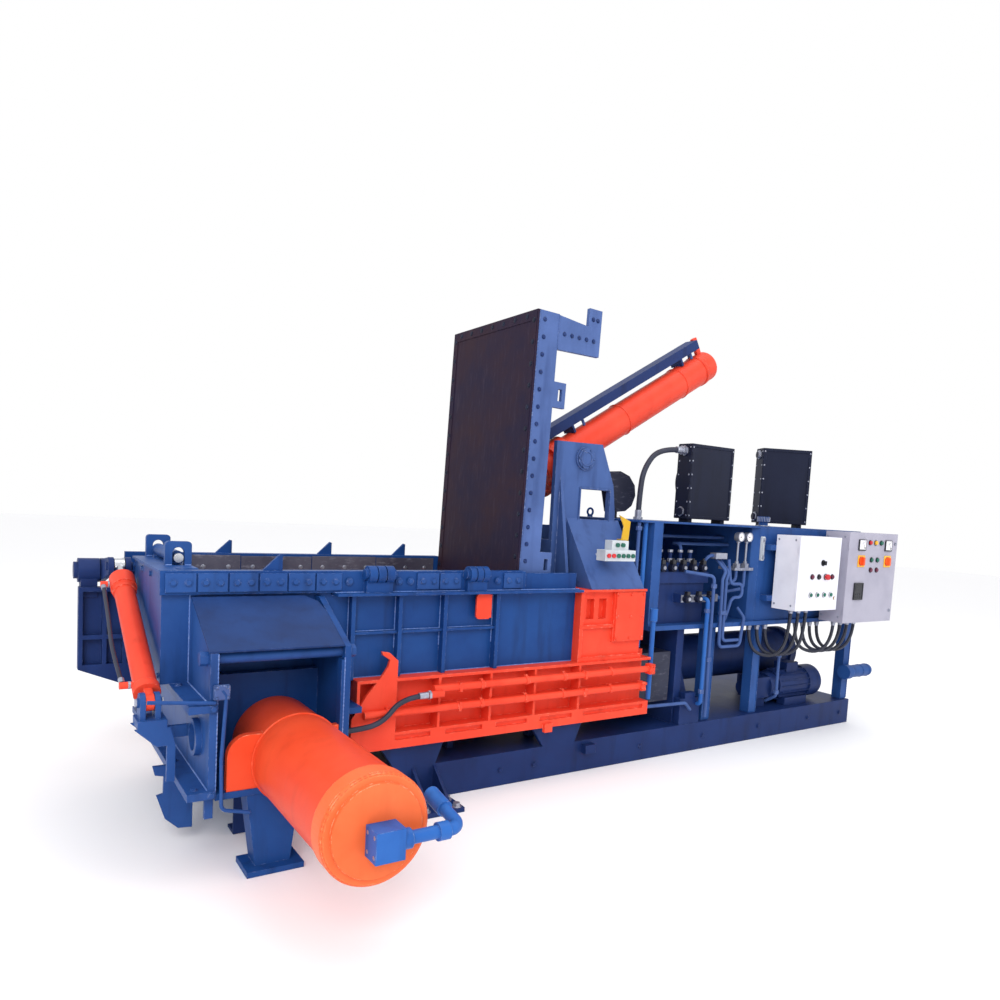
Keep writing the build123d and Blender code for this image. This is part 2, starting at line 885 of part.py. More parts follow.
def lid_frame():
    frame = lid_shape()
    hub_z = lid_hinge_offset
    for side in (-1, 1):
        low = min(side * (lid_half - 130), side * (lid_half - 2))
        high = max(side * (lid_half - 130), side * (lid_half - 2))
        hub = bar((0, low, hub_z), (0, high, hub_z), hinge_hub_radius)
        neck = block(0, 210, low, high, lid_face_thick + lid_skin, hub_z)
        frame += hub + neck
    pin_s, pin_n = lid_lug_place()
    for side in (-1, 1):
        low = min(side * lug_gap_half, side * (lug_gap_half + lid_lug_thick))
        high = max(side * lug_gap_half, side * (lug_gap_half + lid_lug_thick))
        outline = [
            (pin_s - 260, lid_depth),
            (pin_s + 260, lid_depth),
            (pin_s + 62, pin_n + 20),
            (pin_s - 62, pin_n + 20),
        ]
        lug = plate_xz(outline, low, high) + bar((pin_s, low, pin_n), (pin_s, high, pin_n), 66)
        boss_far = side * (lug_gap_half + lid_lug_thick + 16)
        boss_near = side * (lug_gap_half + lid_lug_thick)
        lug += bar((pin_s, boss_near, pin_n), (pin_s, boss_far, pin_n), lid_pin_radius)
        frame += lug
        frame += lid_hook(side)
    for place in (390, 1385):
        frame += lid_slot_lug(place)
    hole = bar((0, -lid_half - 1, hub_z), (0, lid_half + 1, hub_z), hinge_pin_radius + pin_clearance)
    frame -= hole
    return lid_frame_plane().location * frame


def lid_hook(side):
    low = min(side * (lid_half - hook_plate_thick), side * lid_half)
    high = max(side * (lid_half - hook_plate_thick), side * lid_half)
    outline = [
        (lid_length - hook_root, lid_depth),
        (lid_length - hook_root + 9, hook_reach),
        (lid_length + prong_rise, hook_reach),
        (lid_length + prong_rise, hook_reach - prong_width),
        (lid_length - hook_drop, hook_reach - prong_width),
        (lid_length - 4, lid_depth),
    ]
    return plate_xz(outline, low, high)


def lid_slot_lug(place):
    half = 74
    low = lid_half - 24
    lug = block(place - half, place + half, low, lid_half, lid_depth, lid_depth + 88)
    slot = block(place - 34, place + 34, low - 1, lid_half + 1, lid_depth + 34, lid_depth + 62)
    return lug - slot


def lid_face_plate():
    plate = block(0, lid_length, -lid_half, lid_half, 0, lid_face_thick)
    return lid_frame_plane().location * plate


def lid_hinge_pin():
    ends = box_half + pin_seat
    return bar((lid_hinge_x, -ends, lid_hinge_z), (lid_hinge_x, ends, lid_hinge_z), hinge_pin_radius)


def lid_cylinder_barrel():
    head = -lid_head_reach
    back = lid_tube_reach
    body = bar(lid_axis_point(head), lid_axis_point(back), lid_tube_radius)
    body = fillet(body.edges().sort_by(Axis.X)[-1], 34)
    body += bar(lid_axis_point(head), lid_axis_point(head + 46), lid_tube_radius + 62)
    body += bar(lid_axis_point(-70), lid_axis_point(70), lid_tube_radius + 26)
    trunnion = tower_inner + tower_plate + 6
    body += bar(lid_axis_point(0, 0, -trunnion), lid_axis_point(0, 0, trunnion), trunnion_radius)
    shoulder = tower_inner - 4
    body += bar(lid_axis_point(0, 0, -shoulder), lid_axis_point(0, 0, shoulder), trunnion_radius + 26)
    body -= bar(lid_axis_point(head - 1), lid_axis_point(head + 60), lid_rod_radius + pin_clearance)
    body -= bar(lid_axis_point(head + 60), lid_axis_point(back - 40), lid_bore_radius)
    body += slanted(back - 78, back - 38, -14, 14, lid_tube_radius - 6, lid_tube_radius + 118)
    return body + slanted(head + 2, head + 42, -14, 14, lid_tube_radius + 50, lid_tube_radius + 118)


def lid_cylinder_rod():
    eye_at = -lid_eye_reach
    front = -lid_head_reach + 60 + 10 + lid_stroke
    rod = bar(lid_axis_point(eye_at + 30), lid_axis_point(front), lid_rod_radius)
    rod += bar(lid_axis_point(front), lid_axis_point(front + 100), lid_bore_radius - 0.3)
    x, _, z = lid_axis_point(eye_at)
    rod += bar((x, -lid_eye_half, z), (x, lid_eye_half, z), lid_eye_radius)
    return rod - bar((x, -lid_eye_half - 1, z), (x, lid_eye_half + 1, z), lid_pin_radius)


def lid_pipe_guard():
    """Channel-shaped cover over the pipes on top of the lid cylinder."""
    start = -lid_head_reach + 48
    end = lid_tube_reach - 84
    low = lid_tube_radius + 46
    high = lid_tube_radius + 110
    half = 56
    pieces = []
    for inner, outer in ((-half, -half + 6), (half - 6, half)):
        pieces.append(slanted(start, end, inner, outer, low, high))
    pieces.append(slanted(start, end, -half, half, high - 6, high))
    for place in (start, end - 10):
        pieces.append(slanted(place, place + 10, -half, half, low, high))
    for place in (70 + lid_tube_radius, lid_tube_reach - 300):
        pieces.append(slanted(place, place + 16, -half, half, lid_tube_radius - 4, high))
    guard = joined(pieces)
    return guard - bar(lid_axis_point(start - 1), lid_axis_point(end + 1), lid_tube_radius)


def slanted(start, end, y0, y1, low, high):
    """Block along the lid cylinder, at a height above its axis."""
    corners = [
        lid_axis_point(start, low),
        lid_axis_point(end, low),
        lid_axis_point(end, high),
        lid_axis_point(start, high),
    ]
    return plate_xz([(x, z) for x, _, z in corners], y0, y1)


def main_ram():
    left = main_ram_face
    right = left + main_ram_length
    half = box_half - ram_clearance - liner_thick
    low = chamber_floor + 1
    high = chamber_roof - ram_clearance
    shell = block(left, right, -half, half, low, high)
    shell -= block(left + ram_face_thick, right + 1, -half + ram_wall, half - ram_wall, low + ram_wall, high - ram_wall)
    for place in (left + 420, left + 800):
        rib = block(place, place + 24, -half + ram_wall, half - ram_wall, low + ram_wall, high - ram_wall)
        opening = bar((place - 1, 0, ram_axis_z), (place + 25, 0, ram_axis_z), main_rod_radius + 14)
        shell += rib - opening
    return shell + main_ram_rod()


def main_ram_rod():
    left = main_ram_face + ram_face_thick
    piston_left = main_tube_left + 80 + main_stroke
    piston_right = piston_left + 120
    rod = bar((left, 0, ram_axis_z), (piston_left, 0, ram_axis_z), main_rod_radius)
    return rod + bar((piston_left, 0, ram_axis_z), (piston_right, 0, ram_axis_z), main_bore_radius - 0.3)


def main_cylinder():
    left = main_tube_left
    right = main_tube_right
    body = bar((left, 0, ram_axis_z), (right, 0, ram_axis_z), main_tube_radius)
    body += bar((left, 0, ram_axis_z), (left + 56, 0, ram_axis_z), main_tube_radius + 55)
    body += bar((right - 70, 0, ram_axis_z), (right, 0, ram_axis_z), main_tube_radius + 18)
    body -= bar((left - 1, 0, ram_axis_z), (left + 60, 0, ram_axis_z), main_rod_radius + pin_clearance)
    body -= bar((left + 60, 0, ram_axis_z), (right - 90, 0, ram_axis_z), main_bore_radius)
    saddle = block(
        right - 300,
        right - 180,
        -150,
        150,
        beam_height + deck_thick,
        ram_axis_z - main_tube_radius + 30,
    )
    return body + saddle


def side_ram():
    """Pusher plate that fills the chamber's near opening when it is drawn back."""
    left = wall_left + ram_clearance
    right = chamber_right - ram_clearance
    low = chamber_floor + 3
    high = chamber_roof - ram_clearance
    return block(left, right, front_plate_back + ram_clearance, side_ram_face, low, high) + side_ram_rod()


def side_ram_rod():
    x = side_axis_x
    z = side_axis_z
    start = front_plate_back + ram_clearance
    front = front_plate_back - front_plate_thick - 60 - side_stroke
    rod = bar((x, start, z), (x, front, z), side_rod_radius)
    return rod + bar((x, front, z), (x, front - 90, z), side_bore_radius - 0.3)


def side_cylinder():
    """Side ram barrel: tube, cradle at the housing's mouth, weld ring and stepped end cap."""
    x = side_axis_x
    z = side_axis_z
    root = front_plate_back - front_plate_thick
    end = side_tube_end
    body = bar((x, root, z), (x, end + 14, z), side_tube_radius)
    body += bar((x, end + 100, z), (x, end + 14, z), side_ring_radius)
    body = fillet(body.edges().filter_by(GeomType.CIRCLE).sort_by(Axis.Y)[0], 12)
    body += bar((x, end + 14, z), (x, end, z), side_ring_radius - 34)
    cradle = block(x - cradle_half, x + cradle_half, nose_front + 4, nose_front + 40, housing_floor, cradle_top)
    cradle = fillet(cradle.edges().filter_by(Axis.Y).group_by(Axis.Z)[-1], 90)
    cradle -= block(chamber_right - 16, x + cradle_half + 1, nose_front - 70, nose_front + 130, housing_floor - 1, cradle_top + 1)
    neck = bar((x, root + 1, z), (x, root - 50, z), side_rod_radius + pin_clearance)
    bore = bar((x, root - 50, z), (x, end + 80, z), side_bore_radius)
    return body + cradle - neck - bore


def side_port_block():
    """Port block on the end cap, with the elbow that leads back beside the barrel."""
    x = side_axis_x + 8
    z = side_axis_z - 20
    face = side_tube_end
    half = 55
    cube = block(x - half, x + half, face - 90, face, z - half, z + half)
    out = face - 50
    turn = x + 292
    pipe = run([(x + half, out, z), (turn, out, z), (turn, out + 120, z + 22)], 24, 44)
    collar = bar((x + half, out, z), (x + half + 34, out, z), 36)
    nut = bar((turn - 96, out, z), (turn - 52, out, z), 33)
    ferrule = bar((turn, out + 120, z + 22), (turn, out + 230, z + 42), 32)
    return cube + pipe + collar + nut + ferrule


def lock_cylinder():
    x = lug_left + lug_width / 2
    z = rim_top + 34
    reach = lug_half_spacing - lug_thick / 2
    body = bar((x, -reach, z), (x, reach, z), 32)
    body -= bar((x, -reach - 1, z), (x, reach + 1, z), 22 + 0.3)
    for side in (-150, 150):
        body += block(x - 40, x + 40, side - 20, side + 20, rim_top, z - 22.3) - bar(
            (x, side - 21, z), (x, side + 21, z), 22.3
        )
    return body


def lock_bolt():
    x = lug_left + lug_width / 2
    z = rim_top + 34
    return bar((x, -lug_half_spacing - 22, z), (x, -20, z), 22)


def lock_bolt_near():
    return lock_bolt()


def lock_bolt_far():
    return mirrored(lock_bolt())


def door_hinge_frame():
    """Ribbed frame beside the bale outlet; its head carries the door shaft's outer bearing."""
    left = door_hub_left
    right = end_web_left - 44
    near = door_shaft_y - 85
    far = door_shaft_y - 25
    low = 600
    high = 1049
    frame = block(left, right, near, far, low, high)
    middle = 775
    posts = (left, left + 116, left + 218, right - 22)
    for z0, z1 in ((low + 24, middle - 12), (middle + 12, high - 24)):
        for x0, x1 in zip(posts[:-1], posts[1:]):
            frame -= block(x0 + 22, x1, near - 1, far - 12, z0, z1)
    frame += block(right, end_web_left, near, far, low, high)
    frame += block(end_web_left, wall_left, wall_outer, far, low, high)
    skirt = [(left, low), (right, low), (right, 470)]
    frame += plate_xz(skirt, near, near + 14)
    y = door_shaft_y
    z = door_shaft_z
    frame += block(left + 12, door_hub_right - 12, y - 50, y + 50, high, z)
    frame += block(left + 12, door_hub_right - 12, far - 20, y + 50, high - 60, high)
    frame += bar((left, y, z), (door_hub_right, y, z), door_hub_radius)
    frame += bar((left - 20, y, z), (left, y, z), door_hub_radius - 20)
    bore = bar((left + 12, y, z), (door_hub_right + 1, y, z), door_shaft_radius + pin_clearance)
    return frame - bore


def door_shaft():
    """Door shaft with the two-eared lever that its cylinder turns."""
    y = door_shaft_y
    z = door_shaft_z
    shaft = bar((door_hub_left + 14, y, z), (chamber_right, y, z), door_shaft_radius)
    tip = door_lever_tip()
    for side in (-1, 1):
        low = door_lever_x + side * 40 - 13
        arm = bar((low, y, z), (low + 26, y, z), 66)
        outline = [(y, z + 62), (tip[1], tip[2] + 44), (tip[1], tip[2] - 44), (y, z - 62)]
        arm += plate_yz(outline, low, low + 26)
        arm += bar((low, tip[1], tip[2]), (low + 26, tip[1], tip[2]), 46)
        stub = low + side * 10
        shaft += arm + bar((stub, tip[1], tip[2]), (stub + 26, tip[1], tip[2]), 22)
    return shaft


def door_plate():
    """Door as it hangs when shut, below its shaft: plate, ribs and two hinge arms."""
    left = wall_left + 76
    right = chamber_right - 76
    near = -94
    back = near + door_thick
    rib_back = back + 70
    door = block(left - 72, right + 96, near, back, -door_height - 75, -116)
    for place in (left, (left + right) / 2 - 12, right - 24):
        door += block(place, place + 24, back, rib_back, -door_height - 60, -116)
    for level in (-door_height - 60, -470, -250):
        door += block(left, right, back, rib_back, level, level + 24)
    for place in (left, right - 60):
        door += block(place, place + 60, near, rib_back, -200, 0)
        door += bar((place, 0, 0), (place + 60, 0, 0), door_hub_radius - 4)
    return door - bar((left - 60, 0, 0), (right + 60, 0, 0), door_shaft_radius)


def bale_door():
    turned = Rot(door_open, 0, 0) * door_plate()
    return Pos(0, door_shaft_y, door_shaft_z) * turned


def door_cylinder_barrel():
    end = door_pin_length() - 128
    body = bar(door_axis_point(0, -17), door_axis_point(0, 17), 36)
    tongue = bar(door_axis_point(0, -17), door_axis_point(0, 17), 62)
    reach = bar(door_axis_point(0), door_axis_point(64), 34)
    body += tongue & reach
    body += bar(door_axis_point(56), door_axis_point(end), door_tube_radius)
    body += bar(door_axis_point(56), door_axis_point(96), door_tube_radius + 7)
    body += bar(door_axis_point(end - 92), door_axis_point(end), door_tube_radius + 12)
    body += bar(door_axis_point(end - 130), door_axis_point(end - 92), door_tube_radius + 5)
    body -= bar(door_axis_point(end - 60), door_axis_point(end + 1), door_rod_radius + pin_clearance)
    body -= bar(door_axis_point(110), door_axis_point(end - 60), door_bore_radius)
    for place in (120, end - 46):
        reach = door_hose_side - door_hose_size / 2 - 4
        body += bar(door_axis_point(place, -door_tube_radius + 4), door_axis_point(place, reach), 15)
    return body - bar(door_axis_point(0, -18), door_axis_point(0, 18), 20 + pin_clearance)


def door_hose():
    """Hose beside the door cylinder, between its two side ports."""
    end = door_pin_length() - 128
    low = 120 + 16
    high = end - 46 - 16
    points = [
        door_axis_point(low, door_hose_side),
        door_axis_point(low + (high - low) * 0.3, door_hose_side - 16),
        door_axis_point(low + (high - low) * 0.66, door_hose_side - 4),
        door_axis_point(high, door_hose_side - 1),
    ]
    return hose("door_hose", points, door_hose_size)


def door_cylinder_rod():
    length = door_pin_length()
    piston = length - 128 - 60 - 8 - door_stroke
    rod = bar(door_axis_point(piston), door_axis_point(length - 24), door_rod_radius)
    rod += bar(door_axis_point(piston - 60), door_axis_point(piston), door_bore_radius - 0.3)
    eye = bar(door_axis_point(length, -24), door_axis_point(length, 24), 40)
    return rod + eye - bar(door_axis_point(length, -25), door_axis_point(length, 25), 22)


def power_frame():
    """Posts, table and roof that carry the tank, the valves and the coolers."""
    post = 78
    left_post = 330
    roof = block(unit_left, unit_right, unit_front, unit_back, unit_top - 12, unit_top)
    table = block(left_post, unit_right, unit_front - 30, unit_back, table_top - 30, table_top)
    frame = roof + table
    deck = beam_height + deck_thick
    for x in (910, tank_left + 68, unit_right - post):
        for y in (unit_front, unit_back - post):
            frame += block(x, x + post, y, y + post, deck, table_top)
    for y in (unit_front, unit_back - post):
        frame += block(left_post, left_post + post, y, y + post, table_top, unit_top)
    frame += block(left_post, tank_left, unit_back - 14, unit_back, table_top, unit_top)
    return frame + return_filter() + filler_breather()


def oil_tank():
    low = table_top
    high = unit_top - 12
    tank = block(tank_left, unit_right, unit_front, unit_back, low, high)
    edge = tank.edges().filter_by(Axis.Z).sort_by(Axis.X)[0]
    tank = chamfer(edge, 40)
    for level in (low + 150, low + 520):
        tank += block(small_left - 60, unit_right, cabinet_back, unit_front, level, level + 40)
    return tank


def cooler(size, place, turn):
    """Air-blast oil cooler: core box on two feet, with ports and a fan shroud behind."""
    width, height = size
    low = 26
    half = cooler_depth / 2
    box = block(-width / 2, width / 2, -half, half, low, low + height)
    box = chamfer(box.edges().filter_by(Axis.Z), 5)
    for x in (-width / 2 + 30, width / 2 - 70):
        box += block(x, x + 40, -half + 20, half - 20, 0, low)
    for level in (low + 50, low + height - 50):
        box += bar((-width / 2 - 24, 0, level), (-width / 2, 0, level), 26)
    shroud = tube((0, half, low + height / 2), (0, half + 46, low + height / 2), width * 0.42, width * 0.39)
    return Pos(place[0], place[1], unit_top) * (Rot(0, 0, turn) * (box + shroud))


def cooler_left():
    return cooler(cooler_left_size, cooler_left_place, 0)


def cooler_right():
    return cooler(cooler_right_size, cooler_right_place, cooler_right_turn)


def filler_breather():
    x = 1660
    y = unit_front + 190
    body = bar((x, y, unit_top), (x, y, unit_top + 34), 34)
    return body + bar((x, y, unit_top + 34), (x, y, unit_top + 74), 46)


def level_gauge():
    x = tank_left + 50
    face = unit_front
    body = block(x, x + 34, face - 16, face, 1325, 1500)
    return fillet(body.edges().filter_by(Axis.Y), 10)


def pressure_gauges():
    """Two dial gauges on stems over a small manifold, on a bracket from the tank."""
    y = unit_front + 36
    pieces = []
    for x in (1185, 1275):
        face = bar((x, y - 36, 1490), (x, y, 1490), 33)
        stem = bar((x, y - 14, 1300), (x, y - 14, 1490), 8)
        foot = block(x - 18, x + 18, y - 32, y + 4, 1270, 1300)
        pieces.append((face + stem + foot).solid())
    pieces.append(block(1150, tank_left, y - 32, y + 120, 1250, 1270).solid())
    return Compound(children=pieces)


def valve_stack():
    """Manifold blocks on their stand, with a row of solenoid valves on each."""
    front = unit_front + 40
    back = unit_front + 300
    stack = block(440, 900, front + 20, back, table_top, 1160)
    stack += block(412, 920, front, back, 1160, 1236)
    for step in range(5):
        x = 428 + step * 98
        stack += block(x, x + 64, front + 20, back - 40, 1236, 1296)
        stack += bar((x + 32, front - 24, 1266), (x + 32, front + 20, 1266), 23)
        stack += bar((x + 32, front + 120, 1296), (x + 32, front + 120, 1380), 13)
    stack += block(610, 980, unit_front - 8, front + 20, 1030, 1090)
    for step in range(3):
        x = 652 + step * 110
        stack += bar((x, unit_front - 44, 1060), (x, unit_front - 8, 1060), 24)
    return stack


def pump_motor():
    """Foot-mounted motor with cooling ribs along its body and a terminal box."""
    z = beam_height + deck_thick + 150
    left = 1830
    right = 2250
    body = bar((left, 0, z), (right, 0, z), 112)
    for step in range(16):
        fin = block(left + 30, right - 60, -3, 3, 106, 124)
        body += Pos(0, 0, z) * (Rot(step * 22.5, 0, 0) * Pos(0, 0, 0) * fin)
    body += bar((right - 60, 0, z), (right + 80, 0, z), 126)
    for side in (-1, 1):
        low = min(side * 44, side * 116)
        high = max(side * 44, side * 116)
        body += block(left + 60, right - 90, low, high, z - 150, z - 90)
    body += block(left + 130, left + 270, -60, 60, z + 90, z + 170)
    return body


def pump_body():
    """Piston pump with its bell housing, on a foot over the deck."""
    z = beam_height + deck_thick + 150
    right = 1830
    body = bar((right - 90, 0, z), (right, 0, z), 100)
    body += block(right - 260, right - 90, -76, 76, z - 80, z + 80)
    body += bar((right - 320, 0, z), (right - 260, 0, z), 56)
    body += block(right - 240, right - 110, -56, 56, z - 150, z - 80)
    body += bar((right - 175, 0, z + 80), (right - 175, 0, z + 120), 32)
    return body


def pump_set():
    return Pos(0, pump_line, 0) * (pump_motor() + pump_body())


def return_filter():
    """Filter canister lying on a bracket over the right end of the frame."""
    y = unit_front - 58
    z = 432
    seat = unit_right - 90
    body = bar((seat, y, z), (seat + 280, y, z), 50)
    body = fillet(body.edges().sort_by(Axis.X)[-1], 30)
    body += bar((seat - 60, y, z), (seat, y, z), 58)
    return body + block(seat + 20, seat + 80, y + 40, unit_front, z - 40, z + 40)


def service_pipes():
    """Rigid pressure and return pipes between the valves, the tank and the frame."""
    front = unit_front - 62
    valve_face = unit_front - 8
    rows = []
    riser = [(820, -frame_half + 4, 330), (820, front, 330), (820, front, 1060), (820, valve_face, 1060)]
    rows.append(run(riser, 14, 26))
    rows.append(bar((935, unit_front + 20, table_top), (935, unit_front + 20, 1030), 13))
    branch = [(1040, unit_front + 20, table_top), (1040, unit_front + 20, 1060), (980, unit_front + 20, 1060)]
    rows.append(run(branch, 13, 34))
    rows.append(bar((302, -channel_face + 24, 420), (302, -channel_face + 24, 1010), 16))
    rows[-1] += bar((302, -channel_face + 24, 930), (302, -channel_face + 24, 1010), 26)
    rows[-1] += block(channel_right, 302, -channel_face + 12, -channel_face + 36, chamber_roof - 14, chamber_roof - 2)
    rows.append(bar((290, unit_front + 40, chamber_roof + 40), (290, unit_front + 40, unit_top - 12), 15))
    return Compound(children=[piece.solid() for piece in rows])


def cabinet(left, width, bottom, height):
    front = cabinet_back - cabinet_depth
    shell = block(left, left + width, front, cabinet_back, bottom, bottom + height)
    inside = block(
        left + cabinet_skin,
        left + width - cabinet_skin,
        front - 1,
        cabinet_back - cabinet_skin,
        bottom + cabinet_skin,
        bottom + height - cabinet_skin,
    )
    return shell - inside


def door_face():
    return cabinet_back - cabinet_depth - 0.5 - door_leaf


def cabinet_door(left, width, bottom, height):
    face = door_face()
    leaf = block(left, left + width, face, face + door_leaf, bottom, bottom + height)
    leaf = fillet(leaf.edges().filter_by(Axis.Y), 4)
    for level in (bottom + 70, bottom + height - 130):
        leaf += bar((left, face, level), (left, face, level + 60), 7)
    return leaf


def bezel(x, z, radius, bore):
    face = door_face()
    return tube((x, face - 5, z), (x, face, z), radius, bore)


def control_hole(x, z, radius):
    face = door_face()
    return bar((x, face - 6, z), (x, face + button_hole, z), radius + button_gap)


def fixed_button(x, z):
    face = door_face()
    return bar((x, face - button_rise, z), (x, face, z), button_radius)


def push_button(x, z):
    face = door_face()
    body = bar((x, face - button_rise, z), (x, face + 3, z), button_radius)
    return fillet(body.edges().sort_by(Axis.Y)[0], 2)


def turn_handle(x, z, radius, grip):
    """Rotary control: stem in the door, disc and a raised grip across it."""
    face = door_face()
    body = bar((x, face - 0.5, z), (x, face + 6, z), 10)
    body += bar((x, face - 12, z), (x, face - 0.5, z), radius)
    return body + block(x - grip, x + grip, face - 30, face - 12, z - radius + 2, z + radius - 2)


def selector():
    return turn_handle(*selector_place, 17, 5)


def isolator_yellow():
    return turn_handle(*isolator_places[0], 32, 8)


def isolator_red():
    return turn_handle(*isolator_places[1], 32, 8)


def stop_button():
    x = small_row_x[2]
    z = small_row_z[0]
    face = door_face()
    body = bar((x, face - 16, z), (x, face + 3, z), 10)
    head = bar((x, face - 32, z), (x, face - 12, z), 21)
    return body + fillet(head.edges().sort_by(Axis.Y)[0], 6)


def start_button_one():
    return push_button(small_row_x[0], small_row_z[1])


def start_button_two():
    return push_button(small_row_x[1], small_row_z[1])


def start_button_three():
    return push_button(small_row_x[2], small_row_z[1])


def start_button_four():
    return push_button(small_row_x[3], small_row_z[1])


def door_instruments():
    """Square meters, display and indicator lamps on the large cabinet's door."""
    face = door_face()
    pieces = []
    for x, z in meter_places:
        pieces.append(block(x - 46, x + 46, face - 9, face, z - 42, z + 42).solid())
    pieces.append(block(2200, 2316, face - 8, face, 1054, 1184).solid())
    for x in lamp_x:
        pieces.append(bar((x, face - 14, lamp_z), (x, face, lamp_z), 14).solid())
    return Compound(children=pieces)


def cabinet_small():
    return cabinet(small_left, small_width, small_bottom, small_height)


def cabinet_large():
    return cabinet(large_left, large_width, large_bottom, large_height)


def cabinet_small_door():
    leaf = cabinet_door(small_left, small_width, small_bottom, small_height)
    for x in small_row_x:
        leaf += bezel(x, small_row_z[1], 20, button_radius + button_gap)
        leaf -= control_hole(x, small_row_z[1], button_radius)
    for x in small_row_x[:2] + small_row_x[3:]:
        leaf += fixed_button(x, small_row_z[0])
    leaf -= control_hole(small_row_x[2], small_row_z[0], 10)
    leaf -= control_hole(*selector_place, 10)
    face = door_face()
    for x, z in ((1957, 1430), (1970, 1073)):
        leaf += bar((x, face - 6, z), (x, face, z), 15)
    return leaf


def cabinet_large_door():
    leaf = cabinet_door(large_left, large_width, large_bottom, large_height)
    for x, z in isolator_places:
        leaf -= control_hole(x, z, 10)
    for z in large_button_z:
        for x in large_button_x:
            leaf += fixed_button(x, z)
    return leaf


def slope_at(level):
    """Y of the sloped cover's outer face at a level."""
    outer = -tower_inner - tower_plate
    foot = -lip_face + 10
    return outer - (cover_top - level) * (outer - foot) / (cover_top - lip_top)


def pendant_station():
    """Push-button boxes on a bracket in front of the sloped cover."""
    face = -lip_face - 30
    lower = block(-190, 55, face, face + 80, 1318, 1384)
    upper = block(-120, 14, face + 24, face + 90, 1384, 1442)
    arm = [
        (face + 79, 1334),
        (slope_at(1334) - 0.3, 1334),
        (slope_at(1350) - 0.3, 1350),
        (face + 79, 1350),
    ]
    station = lower + upper + plate_yz(arm, -110, -30)
    for step in range(6):
        x = -166 + step * 39
        station += bar((x, face - 9, 1351), (x, face, 1351), 12)
    return station


def channel_hose():
    """Hose that drops from the channel's upper pipe to the side housing's cheek."""
    y = -channel_face - 55
    end = chamber_right + cheek_thick + 0.3
    points = [
        (-1360.3, y, 612),
        (-1510, y, 612),
        (-1610, y, 490),
        (-1760, y, 470),
        (end, y, 470),
    ]
    return hose("channel_hose", points, hose_size)


def cooler_hose():
    x = cooler_left_place[0] - cooler_left_size[0] / 2 - 24.3
    y = cooler_left_place[1]
    z = unit_top + 26 + cooler_left_size[1] - 50
    points = [
        (x, y, z),
        (x - 228, y, z),
        (x - 368, y, z - 150),
        (x - 392, y, z - 332),
        (x - 392, y, unit_top + 0.3),
    ]
    return hose("cooler_hose", points, cooler_hose_size)


def conduit(name, x, top):
    """Conduit that loops from a cabinet's floor to the underside of the table's edge."""
    level = table_top - 30
    points = [
        (x, cabinet_back - 90, top - 0.3),
        (x, cabinet_back - 90, level - 120),
        (x - 120, cabinet_back - 52, level - 235),
        (x - 280, unit_front - 15, level - 176),
        (x - 280, unit_front - 15, level - 0.3),
    ]
    return hose(name, points, conduit_size).solid()


def small_conduits():
    return Compound(children=[conduit("small_conduits", x, small_bottom) for x in small_conduit_x])


def large_conduits():
    return Compound(children=[conduit("large_conduits", x, large_bottom) for x in large_conduit_x])


nodes = {
    "base_frame": base_frame,
    "lower_channel": lower_channel,
    "channel_pipes": channel_pipes,
    "near_wall": near_wall,
    "orange_stop": orange_stop,
    "far_wall": far_wall,
    "rim_blades": rim_blades,
    "end_wall": end_wall,
    "side_housing": side_housing,
    "hood_plate": hood_plate,
    "tie_bar": tie_bar,
    "end_frame": end_frame,
    "end_frame_cover": end_frame_cover,
    "tower": tower,
    "lid_frame": lid_frame,
    "lid_face_plate": lid_face_plate,
    "lid_hinge_pin": lid_hinge_pin,
    "lid_cylinder_barrel": lid_cylinder_barrel,
    "lid_cylinder_rod": lid_cylinder_rod,
    "lid_pipe_guard": lid_pipe_guard,
    "main_ram": main_ram,
    "main_cylinder": main_cylinder,
    "side_ram": side_ram,
    "side_cylinder": side_cylinder,
    "side_port_block": side_port_block,
    "lock_bolt_near": lock_bolt_near,
    "lock_bolt_far": lock_bolt_far,
    "door_hinge_frame": door_hinge_frame,
    "door_shaft": door_shaft,
    "bale_door": bale_door,
    "door_cylinder_barrel": door_cylinder_barrel,
    "door_cylinder_rod": door_cylinder_rod,
    "power_frame": power_frame,
    "oil_tank": oil_tank,
    "cooler_left": cooler_left,
    "cooler_right": cooler_right,
    "level_gauge": level_gauge,
    "pressure_gauges": pressure_gauges,
    "valve_stack": valve_stack,
    "pump_set": pump_set,
    "service_pipes": service_pipes,
    "cabinet_small": cabinet_small,
    "cabinet_large": cabinet_large,
    "cabinet_small_door": cabinet_small_door,
    "cabinet_large_door": cabinet_large_door,
    "pendant_station": pendant_station,
    "selector": selector,
    "stop_button": stop_button,
    "start_button_one": start_button_one,
    "start_button_two": start_button_two,
    "start_button_three": start_button_three,
    "start_button_four": start_button_four,
    "isolator_yellow": isolator_yellow,
    "isolator_red": isolator_red,
    "door_instruments": door_instruments,
    "channel_hose": channel_hose,
    "cooler_hose": cooler_hose,
    "door_hose": door_hose,
    "small_conduits": small_conduits,
    "large_conduits": large_conduits,
}

os.makedirs("parts", exist_ok=True)
for name, make in nodes.items():
    export_step(make(), f"parts/{name}.step")
    print(name)
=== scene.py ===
import bmesh
import bpy
import math
from mathutils import Matrix, Vector


